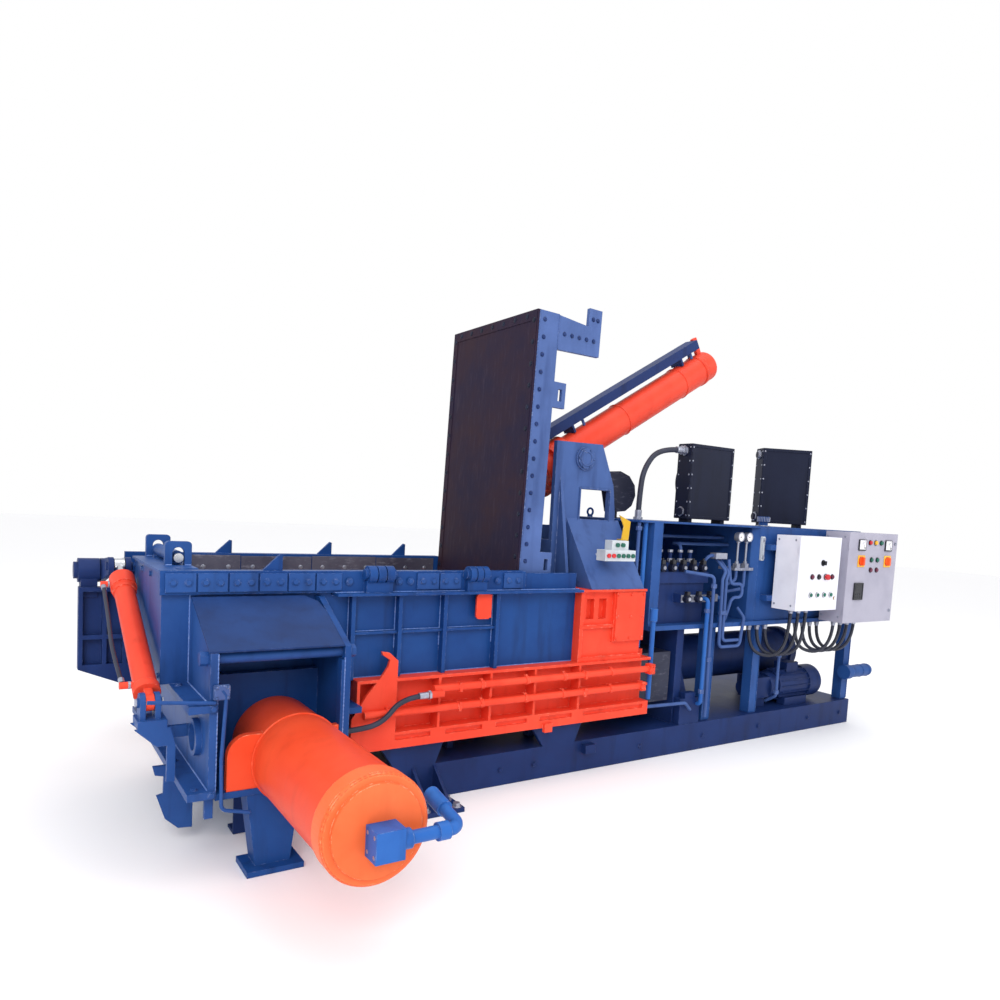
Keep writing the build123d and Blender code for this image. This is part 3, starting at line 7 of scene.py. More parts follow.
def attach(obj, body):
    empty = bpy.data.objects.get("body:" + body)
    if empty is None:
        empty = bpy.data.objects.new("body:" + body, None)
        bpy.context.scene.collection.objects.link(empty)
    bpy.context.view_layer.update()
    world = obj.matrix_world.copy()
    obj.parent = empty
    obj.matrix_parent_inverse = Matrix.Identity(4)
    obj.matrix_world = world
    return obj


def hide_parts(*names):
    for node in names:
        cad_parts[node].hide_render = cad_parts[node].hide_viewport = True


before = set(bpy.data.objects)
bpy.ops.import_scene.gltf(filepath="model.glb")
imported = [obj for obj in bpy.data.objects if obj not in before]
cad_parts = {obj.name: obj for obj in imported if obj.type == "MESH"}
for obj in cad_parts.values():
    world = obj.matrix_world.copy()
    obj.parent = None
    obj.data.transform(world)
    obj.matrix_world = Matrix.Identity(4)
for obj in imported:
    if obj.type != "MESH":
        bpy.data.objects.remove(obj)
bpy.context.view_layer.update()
print("frame loaded")

# camera, as the photograph was taken: place in metres, angles in radians, lens in millimetres
cameraView = {"place": (-3.24, -4.091, 1.6), "yaw": 0.58657, "pitch": 0.0809, "roll": -0.0562, "lens": 27.53,
              "shiftY": 0.07}


def placeCamera(view):
    yaw, pitch, roll = view["yaw"], view["pitch"], view["roll"]
    ahead = Vector((math.sin(yaw) * math.cos(pitch), math.cos(yaw) * math.cos(pitch), -math.sin(pitch)))
    right = Vector((math.cos(yaw), -math.sin(yaw), 0))
    down = ahead.cross(right)
    turnedRight = right * math.cos(roll) + down * math.sin(roll)
    turnedDown = down * math.cos(roll) - right * math.sin(roll)
    camera = bpy.data.cameras.new("camera")
    camera.lens = view["lens"]
    camera.sensor_width = 36
    camera.shift_y = view["shiftY"]
    camera.clip_end = 100
    holder = bpy.data.objects.new("camera", camera)
    axes = Matrix((turnedRight, -turnedDown, -ahead)).transposed().to_4x4()
    holder.matrix_world = Matrix.Translation(view["place"]) @ axes
    bpy.context.collection.objects.link(holder)
    bpy.context.scene.camera = holder


placeCamera(cameraView)


def linear(code):
    # sRGB hex to the linear values that shaders want
    parts = [int(code[i:i + 2], 16) / 255 for i in (1, 3, 5)]
    return tuple(c / 12.92 if c <= 0.04045 else ((c + 0.055) / 1.055) ** 2.4 for c in parts) + (1.0,)


def addNode(tree, kind, settings=None, links=None):
    # a shader node goes by its short name, and a node given as a link stands for its first output
    node = tree.nodes.new(kind if "Node" in kind else "ShaderNode" + kind)
    for key, value in (settings or {}).items():
        if isinstance(key, str) and hasattr(node, key):
            setattr(node, key, value)
        else:
            node.inputs[key].default_value = value
    for key, source in (links or {}).items():
        tree.links.new(source.outputs[0] if isinstance(source, bpy.types.Node) else source, node.inputs[key])
    return node


def startMaterial(name):
    material = bpy.data.materials.new(name)
    material.use_nodes = True
    tree = material.node_tree
    tree.nodes.clear()
    place = addNode(tree, "TexCoord").outputs["Object"]
    shader = addNode(tree, "BsdfPrincipled")
    addNode(tree, "OutputMaterial", {}, {"Surface": shader.outputs["BSDF"]})
    return material, tree, place, shader


def endMaterial(material, shader, colour, gloss, relief, values):
    links = material.node_tree.links
    links.new(colour.outputs[2], shader.inputs["Base Color"])
    links.new(gloss.outputs["Result"], shader.inputs["Roughness"])
    links.new(relief.outputs["Normal"], shader.inputs["Normal"])
    for key, value in values.items():
        shader.inputs[key].default_value = value
    return material


def sprayedSteel(name, tones, rough, soil=0.5):
    # alkyd enamel sprayed on welded plate: soft gloss, dust in clouds 0.4 m wide, runs down the walls,
    # orange peel of 4 mm and chips of 30 mm along the edges; tones: fresh, faded, soiled and bare
    material, tree, place, shader = startMaterial(name)
    fresh, faded, soiledTone, bare = (linear(code) for code in tones.split())
    cloud = addNode(tree, "TexNoise", {"Scale": 2.6, "Detail": 5.0, "Roughness": 0.62}, {"Vector": place})
    runs = addNode(tree, "Mapping", {"Scale": (9.0, 9.0, 1.3)}, {"Vector": place})
    streak = addNode(tree, "TexNoise", {"Scale": 1.6, "Detail": 4.0}, {"Vector": runs})
    peel = addNode(tree, "TexNoise", {"Scale": 230.0, "Detail": 2.0}, {"Vector": place})
    chip = addNode(tree, "TexNoise", {"Scale": 34.0, "Detail": 6.0, "Roughness": 0.7}, {"Vector": place})
    soft = addNode(tree, "Bevel", {"samples": 4, "Radius": 0.005})
    flat = addNode(tree, "NewGeometry")
    agree = addNode(tree, "VectorMath", {"operation": "DOT_PRODUCT"}, {0: soft, 1: flat.outputs["Normal"]})
    edge = addNode(tree, "MapRange", {"From Min": 0.995, "From Max": 0.86, "To Min": 0.0, "To Max": 1.0},
                   {"Value": agree.outputs["Value"]})
    worn = addNode(tree, "MapRange", {"From Min": 0.5, "From Max": 0.62}, {"Value": chip})
    edgeWear = addNode(tree, "Math", {"operation": "MULTIPLY"}, {0: edge, 1: worn})
    fade = addNode(tree, "MapRange", {"From Min": 0.32, "From Max": 0.7}, {"Value": cloud})
    tone = addNode(tree, "Mix", {"data_type": "RGBA", 6: fresh, 7: faded}, {0: fade})
    dirt = addNode(tree, "MapRange", {"From Min": 0.52, "From Max": 0.78, "To Max": soil}, {"Value": streak})
    soiled = addNode(tree, "Mix", {"data_type": "RGBA", 7: soiledTone}, {0: dirt, 6: tone.outputs[2]})
    chipped = addNode(tree, "Mix", {"data_type": "RGBA", 7: bare}, {0: edgeWear, 6: soiled.outputs[2]})
    gloss = addNode(tree, "MapRange", {"To Min": rough - 0.07, "To Max": rough + 0.2}, {"Value": cloud})
    bump = addNode(tree, "Bump", {"Strength": 0.12, "Distance": 0.002}, {"Height": peel, "Normal": soft})
    return endMaterial(material, shader, chipped, gloss, bump,
                       {"Coat Weight": 0.02, "Coat Roughness": 0.25, "Specular IOR Level": 0.16})


def rolledSteel(name, tones, rough, stretch, metal, gleam=0.5):
    # bare steel rubbed by scrap or by its seal: scale in blotches 0.3 m wide, and drag marks drawn out
    # along one direction by the stretch; tones: fresh, faded and bare
    material, tree, place, shader = startMaterial(name)
    fresh, faded, bare = (linear(code) for code in tones.split())
    blotch = addNode(tree, "TexNoise", {"Scale": 3.2, "Detail": 7.0, "Roughness": 0.66}, {"Vector": place})
    drag = addNode(tree, "Mapping", {"Scale": stretch}, {"Vector": place})
    scratch = addNode(tree, "TexNoise", {"Scale": 6.0, "Detail": 8.0, "Roughness": 0.72}, {"Vector": drag})
    patch = addNode(tree, "MapRange", {"From Min": 0.38, "From Max": 0.66}, {"Value": blotch})
    line = addNode(tree, "MapRange", {"From Min": 0.54, "From Max": 0.72, "To Max": 0.7}, {"Value": scratch})
    tone = addNode(tree, "Mix", {"data_type": "RGBA", 6: fresh, 7: faded}, {0: patch})
    marked = addNode(tree, "Mix", {"data_type": "RGBA", 7: bare}, {0: line, 6: tone.outputs[2]})
    gloss = addNode(tree, "MapRange", {"To Min": rough + 0.16, "To Max": rough - 0.08}, {"Value": scratch})
    soft = addNode(tree, "Bevel", {"samples": 4, "Radius": 0.003})
    bump = addNode(tree, "Bump", {"Strength": 0.25, "Distance": 0.002}, {"Height": scratch, "Normal": soft})
    return endMaterial(material, shader, marked, gloss, bump,
                       {"Metallic": metal, "Specular IOR Level": gleam})


def mouldedPlastic(name, tones, rough, grain=420.0, bump=0.1):
    # injection moulded or powder coated: even colour, grain of 2 to 3 mm, drawn as coarse as it needs to
    # show, and light handling marks; tones: fresh and faded
    material, tree, place, shader = startMaterial(name)
    fresh, faded = (linear(code) for code in tones.split())
    pores = addNode(tree, "TexNoise", {"Scale": grain, "Detail": 2.0}, {"Vector": place})
    smear = addNode(tree, "TexNoise", {"Scale": 7.0, "Detail": 5.0}, {"Vector": place})
    amount = addNode(tree, "MapRange", {"From Min": 0.42, "From Max": 0.75}, {"Value": smear})
    tone = addNode(tree, "Mix", {"data_type": "RGBA", 6: fresh, 7: faded}, {0: amount})
    gloss = addNode(tree, "MapRange", {"To Min": rough - 0.06, "To Max": rough + 0.14}, {"Value": smear})
    soft = addNode(tree, "Bevel", {"samples": 4, "Radius": 0.002})
    relief = addNode(tree, "Bump", {"Strength": bump, "Distance": 0.001}, {"Height": pores, "Normal": soft})
    return endMaterial(material, shader, tone, gloss, relief, {})


machineBlue = sprayedSteel("enamelMachineBlue", "#1f4482 #2a5292 #132448 #6c7eb0", 0.38)
boxBlue = sprayedSteel("enamelBoxBlue", "#123a78 #1c4888 #101f44 #6f82b2", 0.4)
# the box blue darkened, as painted shade on the door frame, door shaft and valve stack, which sit in shadow
boxBluePaintedShade = sprayedSteel("enamelBoxBluePaintedShade", "#172a5a #203870 #0f1834 #52618c", 0.42)
navyBlue = sprayedSteel("enamelNavyBlue", "#132656 #1a3166 #0d1632 #465684", 0.42)
towerBlue = sprayedSteel("enamelTowerBlue", "#3a5288 #456098 #22325e #8694be", 0.4)
lidBlue = sprayedSteel("enamelLidBlue", "#405688 #5068a0 #263868 #9aa8d0", 0.38)
hoodBlue = sprayedSteel("enamelHoodBlue", "#122a58 #1c3c74 #101a38 #46588a", 0.4, soil=0.3)
signalOrange = sprayedSteel("enamelSignalOrange", "#e4402a #ec4e36 #b02e1c #ffa088", 0.36, soil=0.35)
lidOrange = sprayedSteel("enamelLidOrange", "#dc3c28 #e84c36 #b43422 #ffae98", 0.32, soil=0.3)
capOrange = sprayedSteel("enamelCapOrange", "#e46434 #ee7444 #d05a30 #ffbd98", 0.34, soil=0.3)
barrelOrange = sprayedSteel("enamelBarrelOrange", "#dc4424 #e65230 #b83a1e #ffbd98", 0.32, soil=0.3)
coolerBlack = sprayedSteel("enamelCoolerBlack", "#10152a #181e34 #0a0d1a #3c4464", 0.42)
wearPlate = rolledSteel("rolledWearPlate", "#272136 #33242f #3a3040", 0.5, (3.0, 7.0, 1.2), 0.0, gleam=0.06)
bladeSteel = rolledSteel("toolSteelBlade", "#4b4a58 #5f5e6a #9a9aa6", 0.4, (1.0, 12.0, 12.0), 0.5)
# much lighter than the box blue: a painted highlight on the weld beads, together with their real spatter
weldBlueWithPaintedHighlight = sprayedSteel("enamelWeldBlueWithPaintedHighlight", "#5878ba #6a88c6 #30488c #a8bce4", 0.3, soil=0.2)
# near-black steel tones: painted shade for the rams, which sit inside the box under the end frame
ramSteelPaintedShade = rolledSteel("ramSteelWithPaintedShade", "#1c2036 #2a2e44 #6a6c7c", 0.42, (2.0, 6.0, 6.0), 0.3)
boxLining = rolledSteel("rolledBoxLining", "#4e4d60 #676676 #a09eac", 0.4, (2.0, 6.0, 6.0), 0.5)
hardChrome = rolledSteel("hardChromedRod", "#c4c6cc #d6d8dc #eef0f2", 0.16, (3.0, 3.0, 3.0), 1.0)
zincSteel = rolledSteel("zincPlatedSteel", "#8d92a4 #aeb2c0 #dfe2ea", 0.3, (8.0, 8.0, 8.0), 0.7)
cabinetGrey = mouldedPlastic("powderCoatPaleGrey", "#e6e7f1 #dadbe6", 0.4, grain=520.0, bump=0.18)
# the same pale grey powder coat darkened for the large cabinet: painted shade
cabinetGreyPaintedShade = mouldedPlastic("powderCoatPaleGreyPaintedShade", "#a7a5b6 #9c9aac", 0.4, grain=520.0, bump=0.18)
fittingBlue = sprayedSteel("enamelFittingBlue", "#2458a4 #3068b4 #183468 #88a0d0", 0.34)
hoseRubber = mouldedPlastic("rubberHoseCover", "#1d2236 #2c3248", 0.5, grain=300.0, bump=0.3)
conduitPlastic = mouldedPlastic("polyamideConduit", "#161a2b #242a40", 0.32)
blackPlastic = mouldedPlastic("blackAcrylicPlastic", "#14151c #22242e", 0.24)
greenPlastic = mouldedPlastic("greenLensPlastic", "#0c5a4a #12705c", 0.22)
redPlastic = mouldedPlastic("redLensPlastic", "#c01822 #d62e30", 0.24)
darkRedPlastic = mouldedPlastic("rubyLensPlastic", "#5a1834 #6e2340", 0.24)
orangePlastic = mouldedPlastic("orangeHandlePlastic", "#e8501e #f0642e", 0.28)
yellowPlastic = mouldedPlastic("yellowPlatePlastic", "#f0b224 #f6c444", 0.3)
yellowPaint = sprayedSteel("enamelBracketYellow", "#c79a20 #d8ac34 #6e5a28 #e8d8a0", 0.4)
pendantPaint = mouldedPlastic("pendantGreyPaint", "#c6ccd2 #a8aeb8", 0.4)
dialWhite = mouldedPlastic("dialCardWhite", "#eeeef2 #e2e2ea", 0.5)
brass = rolledSteel("turnedBrass", "#a8853e #c09a4e #e8cf90", 0.3, (8.0, 8.0, 8.0), 0.9)

nodeFinish = {
    boxBlue: "near_wall far_wall side_housing",
    # door frame, door shaft and valve stack take the darkened box blue, a painted shade
    boxBluePaintedShade: "door_hinge_frame door_shaft valve_stack",
    navyBlue: "base_frame pump_set main_cylinder lid_pipe_guard",
    towerBlue: "tower",
    lidBlue: "lid_frame",
    machineBlue: "end_wall tie_bar rim_blades power_frame oil_tank",
    hoodBlue: "hood_plate",
    signalOrange: "lower_channel orange_stop end_frame end_frame_cover channel_pipes "
                  "door_cylinder_barrel bale_door",
    lidOrange: "lid_cylinder_barrel",
    barrelOrange: "side_cylinder",
    coolerBlack: "cooler_left cooler_right",
    wearPlate: "lid_face_plate",
    bladeSteel: "lid_hinge_pin",
    # the rams take the near-black steel, a painted shade
    ramSteelPaintedShade: "main_ram side_ram",
    hardChrome: "lid_cylinder_rod door_cylinder_rod lock_bolt_near lock_bolt_far",
    zincSteel: "pressure_gauges",
    pendantPaint: "pendant_station level_gauge",
    cabinetGrey: "cabinet_small cabinet_small_door",
    # the large cabinet and its door take the darkened grey, a painted shade
    cabinetGreyPaintedShade: "cabinet_large cabinet_large_door",
    fittingBlue: "service_pipes side_port_block",
    hoseRubber: "channel_hose cooler_hose door_hose",
    conduitPlastic: "small_conduits large_conduits",
    blackPlastic: "door_instruments selector",
    greenPlastic: "start_button_one start_button_two start_button_three start_button_four",
    redPlastic: "stop_button",
    orangePlastic: "isolator_red isolator_yellow",
}
for finish, names in nodeFinish.items():
    for name in names.split():
        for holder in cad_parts[name].material_slots:
            holder.material = finish
print("finishes assigned")


def addBox(mesh, low, high):
    size = [high[i] - low[i] for i in range(3)]
    middle = [(high[i] + low[i]) / 2 for i in range(3)]
    matrix = Matrix.Translation(middle) @ Matrix.Diagonal((*size, 1))
    bmesh.ops.create_cube(mesh, size=1, matrix=matrix)


def aimed(direction):
    return Vector(direction).normalized().to_track_quat("Z", "Y").to_matrix().to_4x4()


def turns(count):
    return [2 * math.pi * i / count for i in range(count)]


def addRod(mesh, start, end, radius, sides=20, endRadius=None):
    start, end = Vector(start), Vector(end)
    matrix = Matrix.Translation((start + end) / 2) @ aimed(end - start)
    bmesh.ops.create_cone(mesh, cap_ends=True, segments=sides, radius1=radius,
                          radius2=radius if endRadius is None else endRadius, depth=(end - start).length,
                          matrix=matrix)


def addRing(mesh, place, direction, radius, thick, steps=28, around=8):
    matrix = Matrix.Translation(place) @ aimed(direction)
    rings = []
    for a in turns(steps):
        spots = [((radius + thick * math.cos(b)), thick * math.sin(b)) for b in turns(around)]
        rings.append([mesh.verts.new(matrix @ Vector((r * math.cos(a), r * math.sin(a), z)))
                      for r, z in spots])
    for i in range(steps):
        for j in range(around):
            k, m = (i + 1) % steps, (j + 1) % around
            mesh.faces.new((rings[i][j], rings[k][j], rings[k][m], rings[i][m]))


def makePiece(name, material, mesh, bevel=0.0, smooth=False, body="frame", place=None):
    # turns a work mesh into a piece on a body, its sharp edges rounded by the bevel
    if place:
        bmesh.ops.transform(mesh, matrix=place, verts=mesh.verts)
    if bevel:
        sharp = [e for e in mesh.edges if len(e.link_faces) == 2 and e.calc_face_angle(0) > 0.6]
        bmesh.ops.bevel(mesh, geom=sharp, offset=bevel, segments=2, affect="EDGES", clamp_overlap=True)
    bmesh.ops.recalc_face_normals(mesh, faces=mesh.faces)
    data = bpy.data.meshes.new(name)
    mesh.to_mesh(data)
    mesh.free()
    data.materials.append(material)
    piece = bpy.data.objects.new(name, data)
    bpy.context.collection.objects.link(piece)
    if smooth:
        for face in data.polygons:
            face.use_smooth = True
    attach(piece, body)
    return piece


def splinePath(route):
    # points along the smooth line of a route, taken from a NURBS curve without bevel
    data = bpy.data.curves.new("line", "CURVE")
    data.dimensions = "3D"
    data.resolution_u = 12
    spline = data.splines.new("NURBS")
    spline.points.add(len(route) - 1)
    for point, place in zip(spline.points, route):
        point.co = (*place, 1)
    spline.order_u = 3
    spline.use_endpoint_u = True
    holder = bpy.data.objects.new("line", data)
    bpy.context.collection.objects.link(holder)
    bpy.context.view_layer.update()
    line = bpy.data.meshes.new_from_object(holder)
    path = [v.co.copy() for v in line.vertices]
    bpy.data.objects.remove(holder)
    bpy.data.curves.remove(data)
    bpy.data.meshes.remove(line)
    return path


def resampled(path, step):
    total = sum((b - a).length for a, b in zip(path, path[1:]))
    count = max(2, int(total / step))
    marks, travelled, index = [], 0.0, 0
    for k in range(count + 1):
        goal = total * k / count
        while index < len(path) - 2 and travelled + (path[index + 1] - path[index]).length < goal:
            travelled += (path[index + 1] - path[index]).length
            index += 1
        span = (path[index + 1] - path[index]).length
        marks.append(path[index].lerp(path[index + 1], min(1.0, max(0.0, (goal - travelled) / span))))
    return marks, total


def addTube(mesh, marks, radiusAt, around=12):
    rings = []
    side = None
    for i, mark in enumerate(marks):
        ahead = (marks[min(i + 1, len(marks) - 1)] - marks[max(i - 1, 0)]).normalized()
        if side is None:
            side = ahead.orthogonal().normalized()
        side = (side - ahead * side.dot(ahead)).normalized()
        up = ahead.cross(side)
        radius = radiusAt(i)
        rings.append([mesh.verts.new(mark + (side * math.cos(a) + up * math.sin(a)) * radius)
                      for a in turns(around)])
    for low, high in zip(rings, rings[1:]):
        for j in range(around):
            mesh.faces.new((low[j], low[(j + 1) % around], high[(j + 1) % around], high[j]))
    mesh.faces.new(list(reversed(rings[0])))
    mesh.faces.new(rings[-1])


def makeCord(name, node, material, route, size, ribPitch=0.0, ribDepth=0.0, body="frame"):
    path = splinePath([Vector(p) for p in route])
    marks, total = resampled(path, ribPitch / 4 if ribPitch else 0.012)
    mesh = bmesh.new()
    ripple = (0.0, -1.0, -1.0, 0.0)  # two of the four rings of a pitch lie in the groove
    addTube(mesh, marks, lambda i: size / 2 + ribDepth * ripple[i % 4] if ribPitch else size / 2, 14)
    piece = makePiece(name, material, mesh, smooth=not ribPitch, body=body)
    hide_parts(node)
    print(name, "length", round(total, 3))


conduits = {"size": 0.026, "ribPitch": 0.011, "ribDepth": 0.0016, "level": 0.854,
            "small": (1.61, 1.7, 1.79), "smallTop": 0.985,
            "large": (2.15, 2.24, 2.33, 2.42), "largeTop": 0.877}
for kind in ("small", "large"):
    for i, x in enumerate(conduits[kind]):
        top, level = conduits[kind + "Top"], conduits["level"]
        route = [(x, -0.65, top - 0.0003), (x, -0.65, level - 0.12), (x - 0.12, -0.612, level - 0.235),
                 (x - 0.28, -0.515, level - 0.176), (x - 0.28, -0.515, level - 0.0003)]
        makeCord(f"{kind}Conduit{i + 1}", f"{kind}_conduits", conduitPlastic, route, conduits["size"],
                 conduits["ribPitch"], conduits["ribDepth"])

hose = {"channelSize": 0.028, "coolerSize": 0.038, "doorSize": 0.018}
channelRoute = [(-1.3603, -0.655, 0.612), (-1.51, -0.655, 0.612), (-1.61, -0.655, 0.49),
                (-1.76, -0.655, 0.47), (-1.9077, -0.655, 0.47)]
coolerRoute = [(0.8677, -0.185, 2.083), (0.6397, -0.185, 2.083), (0.4997, -0.185, 1.933),
               (0.4757, -0.185, 1.751), (0.4757, -0.185, 1.5723)]
makeCord("channelHose", "channel_hose", hoseRubber, channelRoute, hose["channelSize"])
makeCord("coolerHose", "cooler_hose", hoseRubber, coolerRoute, hose["coolerSize"])

# the door's cylinder: its lower pin, the way it points and the distance between its pins
doorBase, doorAlong, doorPins = (-2.7, -0.696, 0.712), (0.0, 0.899268, 0.437398), 1.092458


def doorAxis(distance, side=0.0):
    x, y, z = doorBase
    return (x + side, y + doorAlong[1] * distance, z + doorAlong[2] * distance)


hoseLow, hoseHigh = 0.136, doorPins - 0.128 - 0.046 - 0.016
doorRoute = [doorAxis(hoseLow, -0.088), doorAxis(hoseLow + (hoseHigh - hoseLow) * 0.3, -0.104),
             doorAxis(hoseLow + (hoseHigh - hoseLow) * 0.66, -0.092), doorAxis(hoseHigh, -0.089)]
makeCord("doorHose", "door_hose", hoseRubber, doorRoute, hose["doorSize"], body="door_barrel")
print("cords made")

near, far, up, left, right = (0, -1, 0), (0, 1, 0), (0, 0, 1), (-1, 0, 0), (1, 0, 0)
square = [(a, b) for a in (-1, 1) for b in (-1, 1)]


def startTree(name, **inputs):
    # a Geometry Nodes tree with named inputs; returns it with its entry node and socket identifiers
    tree = bpy.data.node_groups.new(name, "GeometryNodeTree")
    tree.interface.new_socket("Geometry", in_out="INPUT", socket_type="NodeSocketGeometry")
    sockets = {}
    for label, kind in inputs.items():
        socket = tree.interface.new_socket(label, in_out="INPUT", socket_type="NodeSocket" + kind)
        sockets[label] = socket.identifier
    tree.interface.new_socket("Geometry", in_out="OUTPUT", socket_type="NodeSocketGeometry")
    return tree, addNode(tree, "NodeGroupInput"), sockets


def endTree(tree, finish, shapes):
    real = addNode(tree, "GeometryNodeRealizeInstances", {}, {"Geometry": shapes})
    painted = addNode(tree, "GeometryNodeSetMaterial", {}, {"Geometry": real, "Material": finish})
    addNode(tree, "NodeGroupOutput", {}, {"Geometry": painted})


def boltTree():
    # hexagon head on a washer at each point, turned to the point's "facing"
    tree, entry, sockets = startTree("boltRow", Across="Float", Height="Float", Finish="Material")
    half = addNode(tree, "Math", {"operation": "MULTIPLY", 1: 0.56}, {0: entry.outputs["Across"]})
    wide = addNode(tree, "Math", {"operation": "MULTIPLY", 1: 0.8}, {0: entry.outputs["Across"]})
    thin = addNode(tree, "Math", {"operation": "MULTIPLY", 1: 0.3}, {0: entry.outputs["Height"]})
    lift = addNode(tree, "Math", {"operation": "MULTIPLY", 1: 0.5}, {0: entry.outputs["Height"]})
    head = addNode(tree, "GeometryNodeMeshCylinder", {"Vertices": 6},
                   {"Radius": half, "Depth": entry.outputs["Height"]})
    washer = addNode(tree, "GeometryNodeMeshCylinder", {"Vertices": 14}, {"Radius": wide, "Depth": thin})
    offset = addNode(tree, "CombineXYZ", {}, {"Z": lift})
    raised = addNode(tree, "GeometryNodeTransform", {}, {"Geometry": head, "Translation": offset})
    both = addNode(tree, "GeometryNodeJoinGeometry", {}, {"Geometry": raised})
    tree.links.new(washer.outputs["Mesh"], both.inputs["Geometry"])
    facing = addNode(tree, "GeometryNodeInputNamedAttribute", {"data_type": "FLOAT_VECTOR", "Name": "facing"})
    turn = addNode(tree, "FunctionNodeAlignRotationToVector", {"axis": "Z"}, {"Vector": facing})
    placed = addNode(tree, "GeometryNodeInstanceOnPoints", {},
                     {"Points": entry.outputs["Geometry"], "Instance": both, "Rotation": turn})
    endTree(tree, entry.outputs["Finish"], placed.outputs["Instances"])
    return tree, sockets


def seamTree():
    # weld bead along each line, its ripples about a centimetre apart
    tree, entry, sockets = startTree("weldSeam", Bead="Float", Pitch="Float", Finish="Material")
    line = addNode(tree, "GeometryNodeMeshToCurve", {}, {"Mesh": entry.outputs["Geometry"]})
    steps = addNode(tree, "GeometryNodeResampleCurve", {"mode": "LENGTH"},
                    {"Curve": line, "Length": entry.outputs["Pitch"]})
    index = addNode(tree, "GeometryNodeInputIndex")
    other = addNode(tree, "Math", {"operation": "MODULO", 1: 2.0}, {0: index})
    swell = addNode(tree, "MapRange", {"From Min": 0.0, "From Max": 1.0, "To Min": 0.72, "To Max": 1.1},
                    {"Value": other})
    ring = addNode(tree, "GeometryNodeCurvePrimitiveCircle", {"Resolution": 6},
                   {"Radius": entry.outputs["Bead"]})
    bead = addNode(tree, "GeometryNodeCurveToMesh", {"Fill Caps": True},
                   {"Curve": steps, "Profile Curve": ring, "Scale": swell})
    endTree(tree, entry.outputs["Finish"], bead.outputs["Mesh"])
    return tree, sockets


def pipeTree():
    # cold-bent steel tube: straight runs joined by bends of one radius
    tree, entry, sockets = startTree("bentPipe", Tube="Float", Bend="Float", Finish="Material")
    line = addNode(tree, "GeometryNodeMeshToCurve", {}, {"Mesh": entry.outputs["Geometry"]})
    bent = addNode(tree, "GeometryNodeFilletCurve", {"mode": "POLY", "Count": 5},
                   {"Curve": line, "Radius": entry.outputs["Bend"]})
    ring = addNode(tree, "GeometryNodeCurvePrimitiveCircle", {"Resolution": 12},
                   {"Radius": entry.outputs["Tube"]})
    tube = addNode(tree, "GeometryNodeCurveToMesh", {"Fill Caps": True},
                   {"Curve": bent, "Profile Curve": ring})
    endTree(tree, entry.outputs["Finish"], tube.outputs["Mesh"])
    return tree, sockets


def slatTree():
    # row of thin bars: count, spacing and bar size are its inputs
    tree, entry, sockets = startTree("slatRow", Count="Int", Step="Vector", Bar="Vector", Finish="Material")
    row = addNode(tree, "GeometryNodeMeshLine", {"mode": "OFFSET"},
                  {"Count": entry.outputs["Count"], "Offset": entry.outputs["Step"]})
    bar = addNode(tree, "GeometryNodeMeshCube", {}, {"Size": entry.outputs["Bar"]})
    placed = addNode(tree, "GeometryNodeInstanceOnPoints", {}, {"Points": row, "Instance": bar})
    endTree(tree, entry.outputs["Finish"], placed.outputs["Instances"])
    return tree, sockets


trees = {"bolts": boltTree(), "seams": seamTree(), "pipes": pipeTree(), "slats": slatTree()}


def growPiece(name, body, kind, values, points=((0, 0, 0),), edges=(), facings=None, place=None,
              smooth=False):
    # runs one tree on a set of points or lines and keeps the result as a plain mesh on a body
    tree, sockets = trees[kind]
    data = bpy.data.meshes.new(name + "Lines")
    data.from_pydata([tuple(p) for p in points], [tuple(e) for e in edges], [])
    if facings:
        layer = data.attributes.new("facing", "FLOAT_VECTOR", "POINT")
        for item, facing in zip(layer.data, facings):
            item.vector = facing
    holder = bpy.data.objects.new(name + "Lines", data)
    bpy.context.collection.objects.link(holder)
    modifier = holder.modifiers.new("grow", "NODES")
    modifier.node_group = tree
    for label, value in values.items():
        modifier[sockets[label]] = value
    bpy.context.view_layer.update()
    mesh = bpy.data.meshes.new_from_object(holder.evaluated_get(bpy.context.evaluated_depsgraph_get()))
    holder.modifiers.clear()
    bpy.data.objects.remove(holder)
    if place:
        mesh.transform(place)
    work = bmesh.new()
    work.from_mesh(mesh)
    bmesh.ops.recalc_face_normals(work, faces=work.faces)
    for face in work.faces:
        face.smooth = smooth
    work.to_mesh(mesh)
    work.free()
    mesh.name = name
    piece = bpy.data.objects.new(name, mesh)
    bpy.context.collection.objects.link(piece)
    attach(piece, body)


def growBolts(name, material, rows, across, height, body="frame"):
    # rows: pairs of a facing and its list of places
    points = [p for facing, places in rows for p in places]
    facings = [Vector(facing).normalized() for facing, places in rows for p in places]
    values = {"Across": across, "Height": height, "Finish": material}
    growPiece(name, body, "bolts", values, points, facings=facings)


def growLines(name, kind, material, lines, first, second, body="frame"):
    # lines: lists of points, each one bead or one pipe
    labels = {"seams": ("Bead", "Pitch"), "pipes": ("Tube", "Bend")}[kind]
    points, edges = [], []
    for line in lines:
        edges += [(len(points) + i, len(points) + i + 1) for i in range(len(line) - 1)]
        points += line
    values = {labels[0]: first, labels[1]: second, "Finish": material}
    growPiece(name, body, kind, values, points, edges, smooth=kind == "pipes")


def spread(start, end, count):
    return [tuple(Vector(start).lerp(Vector(end), i / (count - 1))) for i in range(count)]


def circlePoints(centre, direction, radius, count, turn=0.0):
    matrix = Matrix.Translation(centre) @ aimed(direction)
    return [tuple(matrix @ Vector((radius * math.cos(turn + a), radius * math.sin(turn + a), 0)))
            for a in turns(count)]


# the lid lies in its own tilted plane: along it from the hinge, out of its back, and across
lid = {"lean": math.radians(1.65), "hinge": (-0.614, 0.892), "offset": 0.113, "length": 1.842, "half": 0.472}


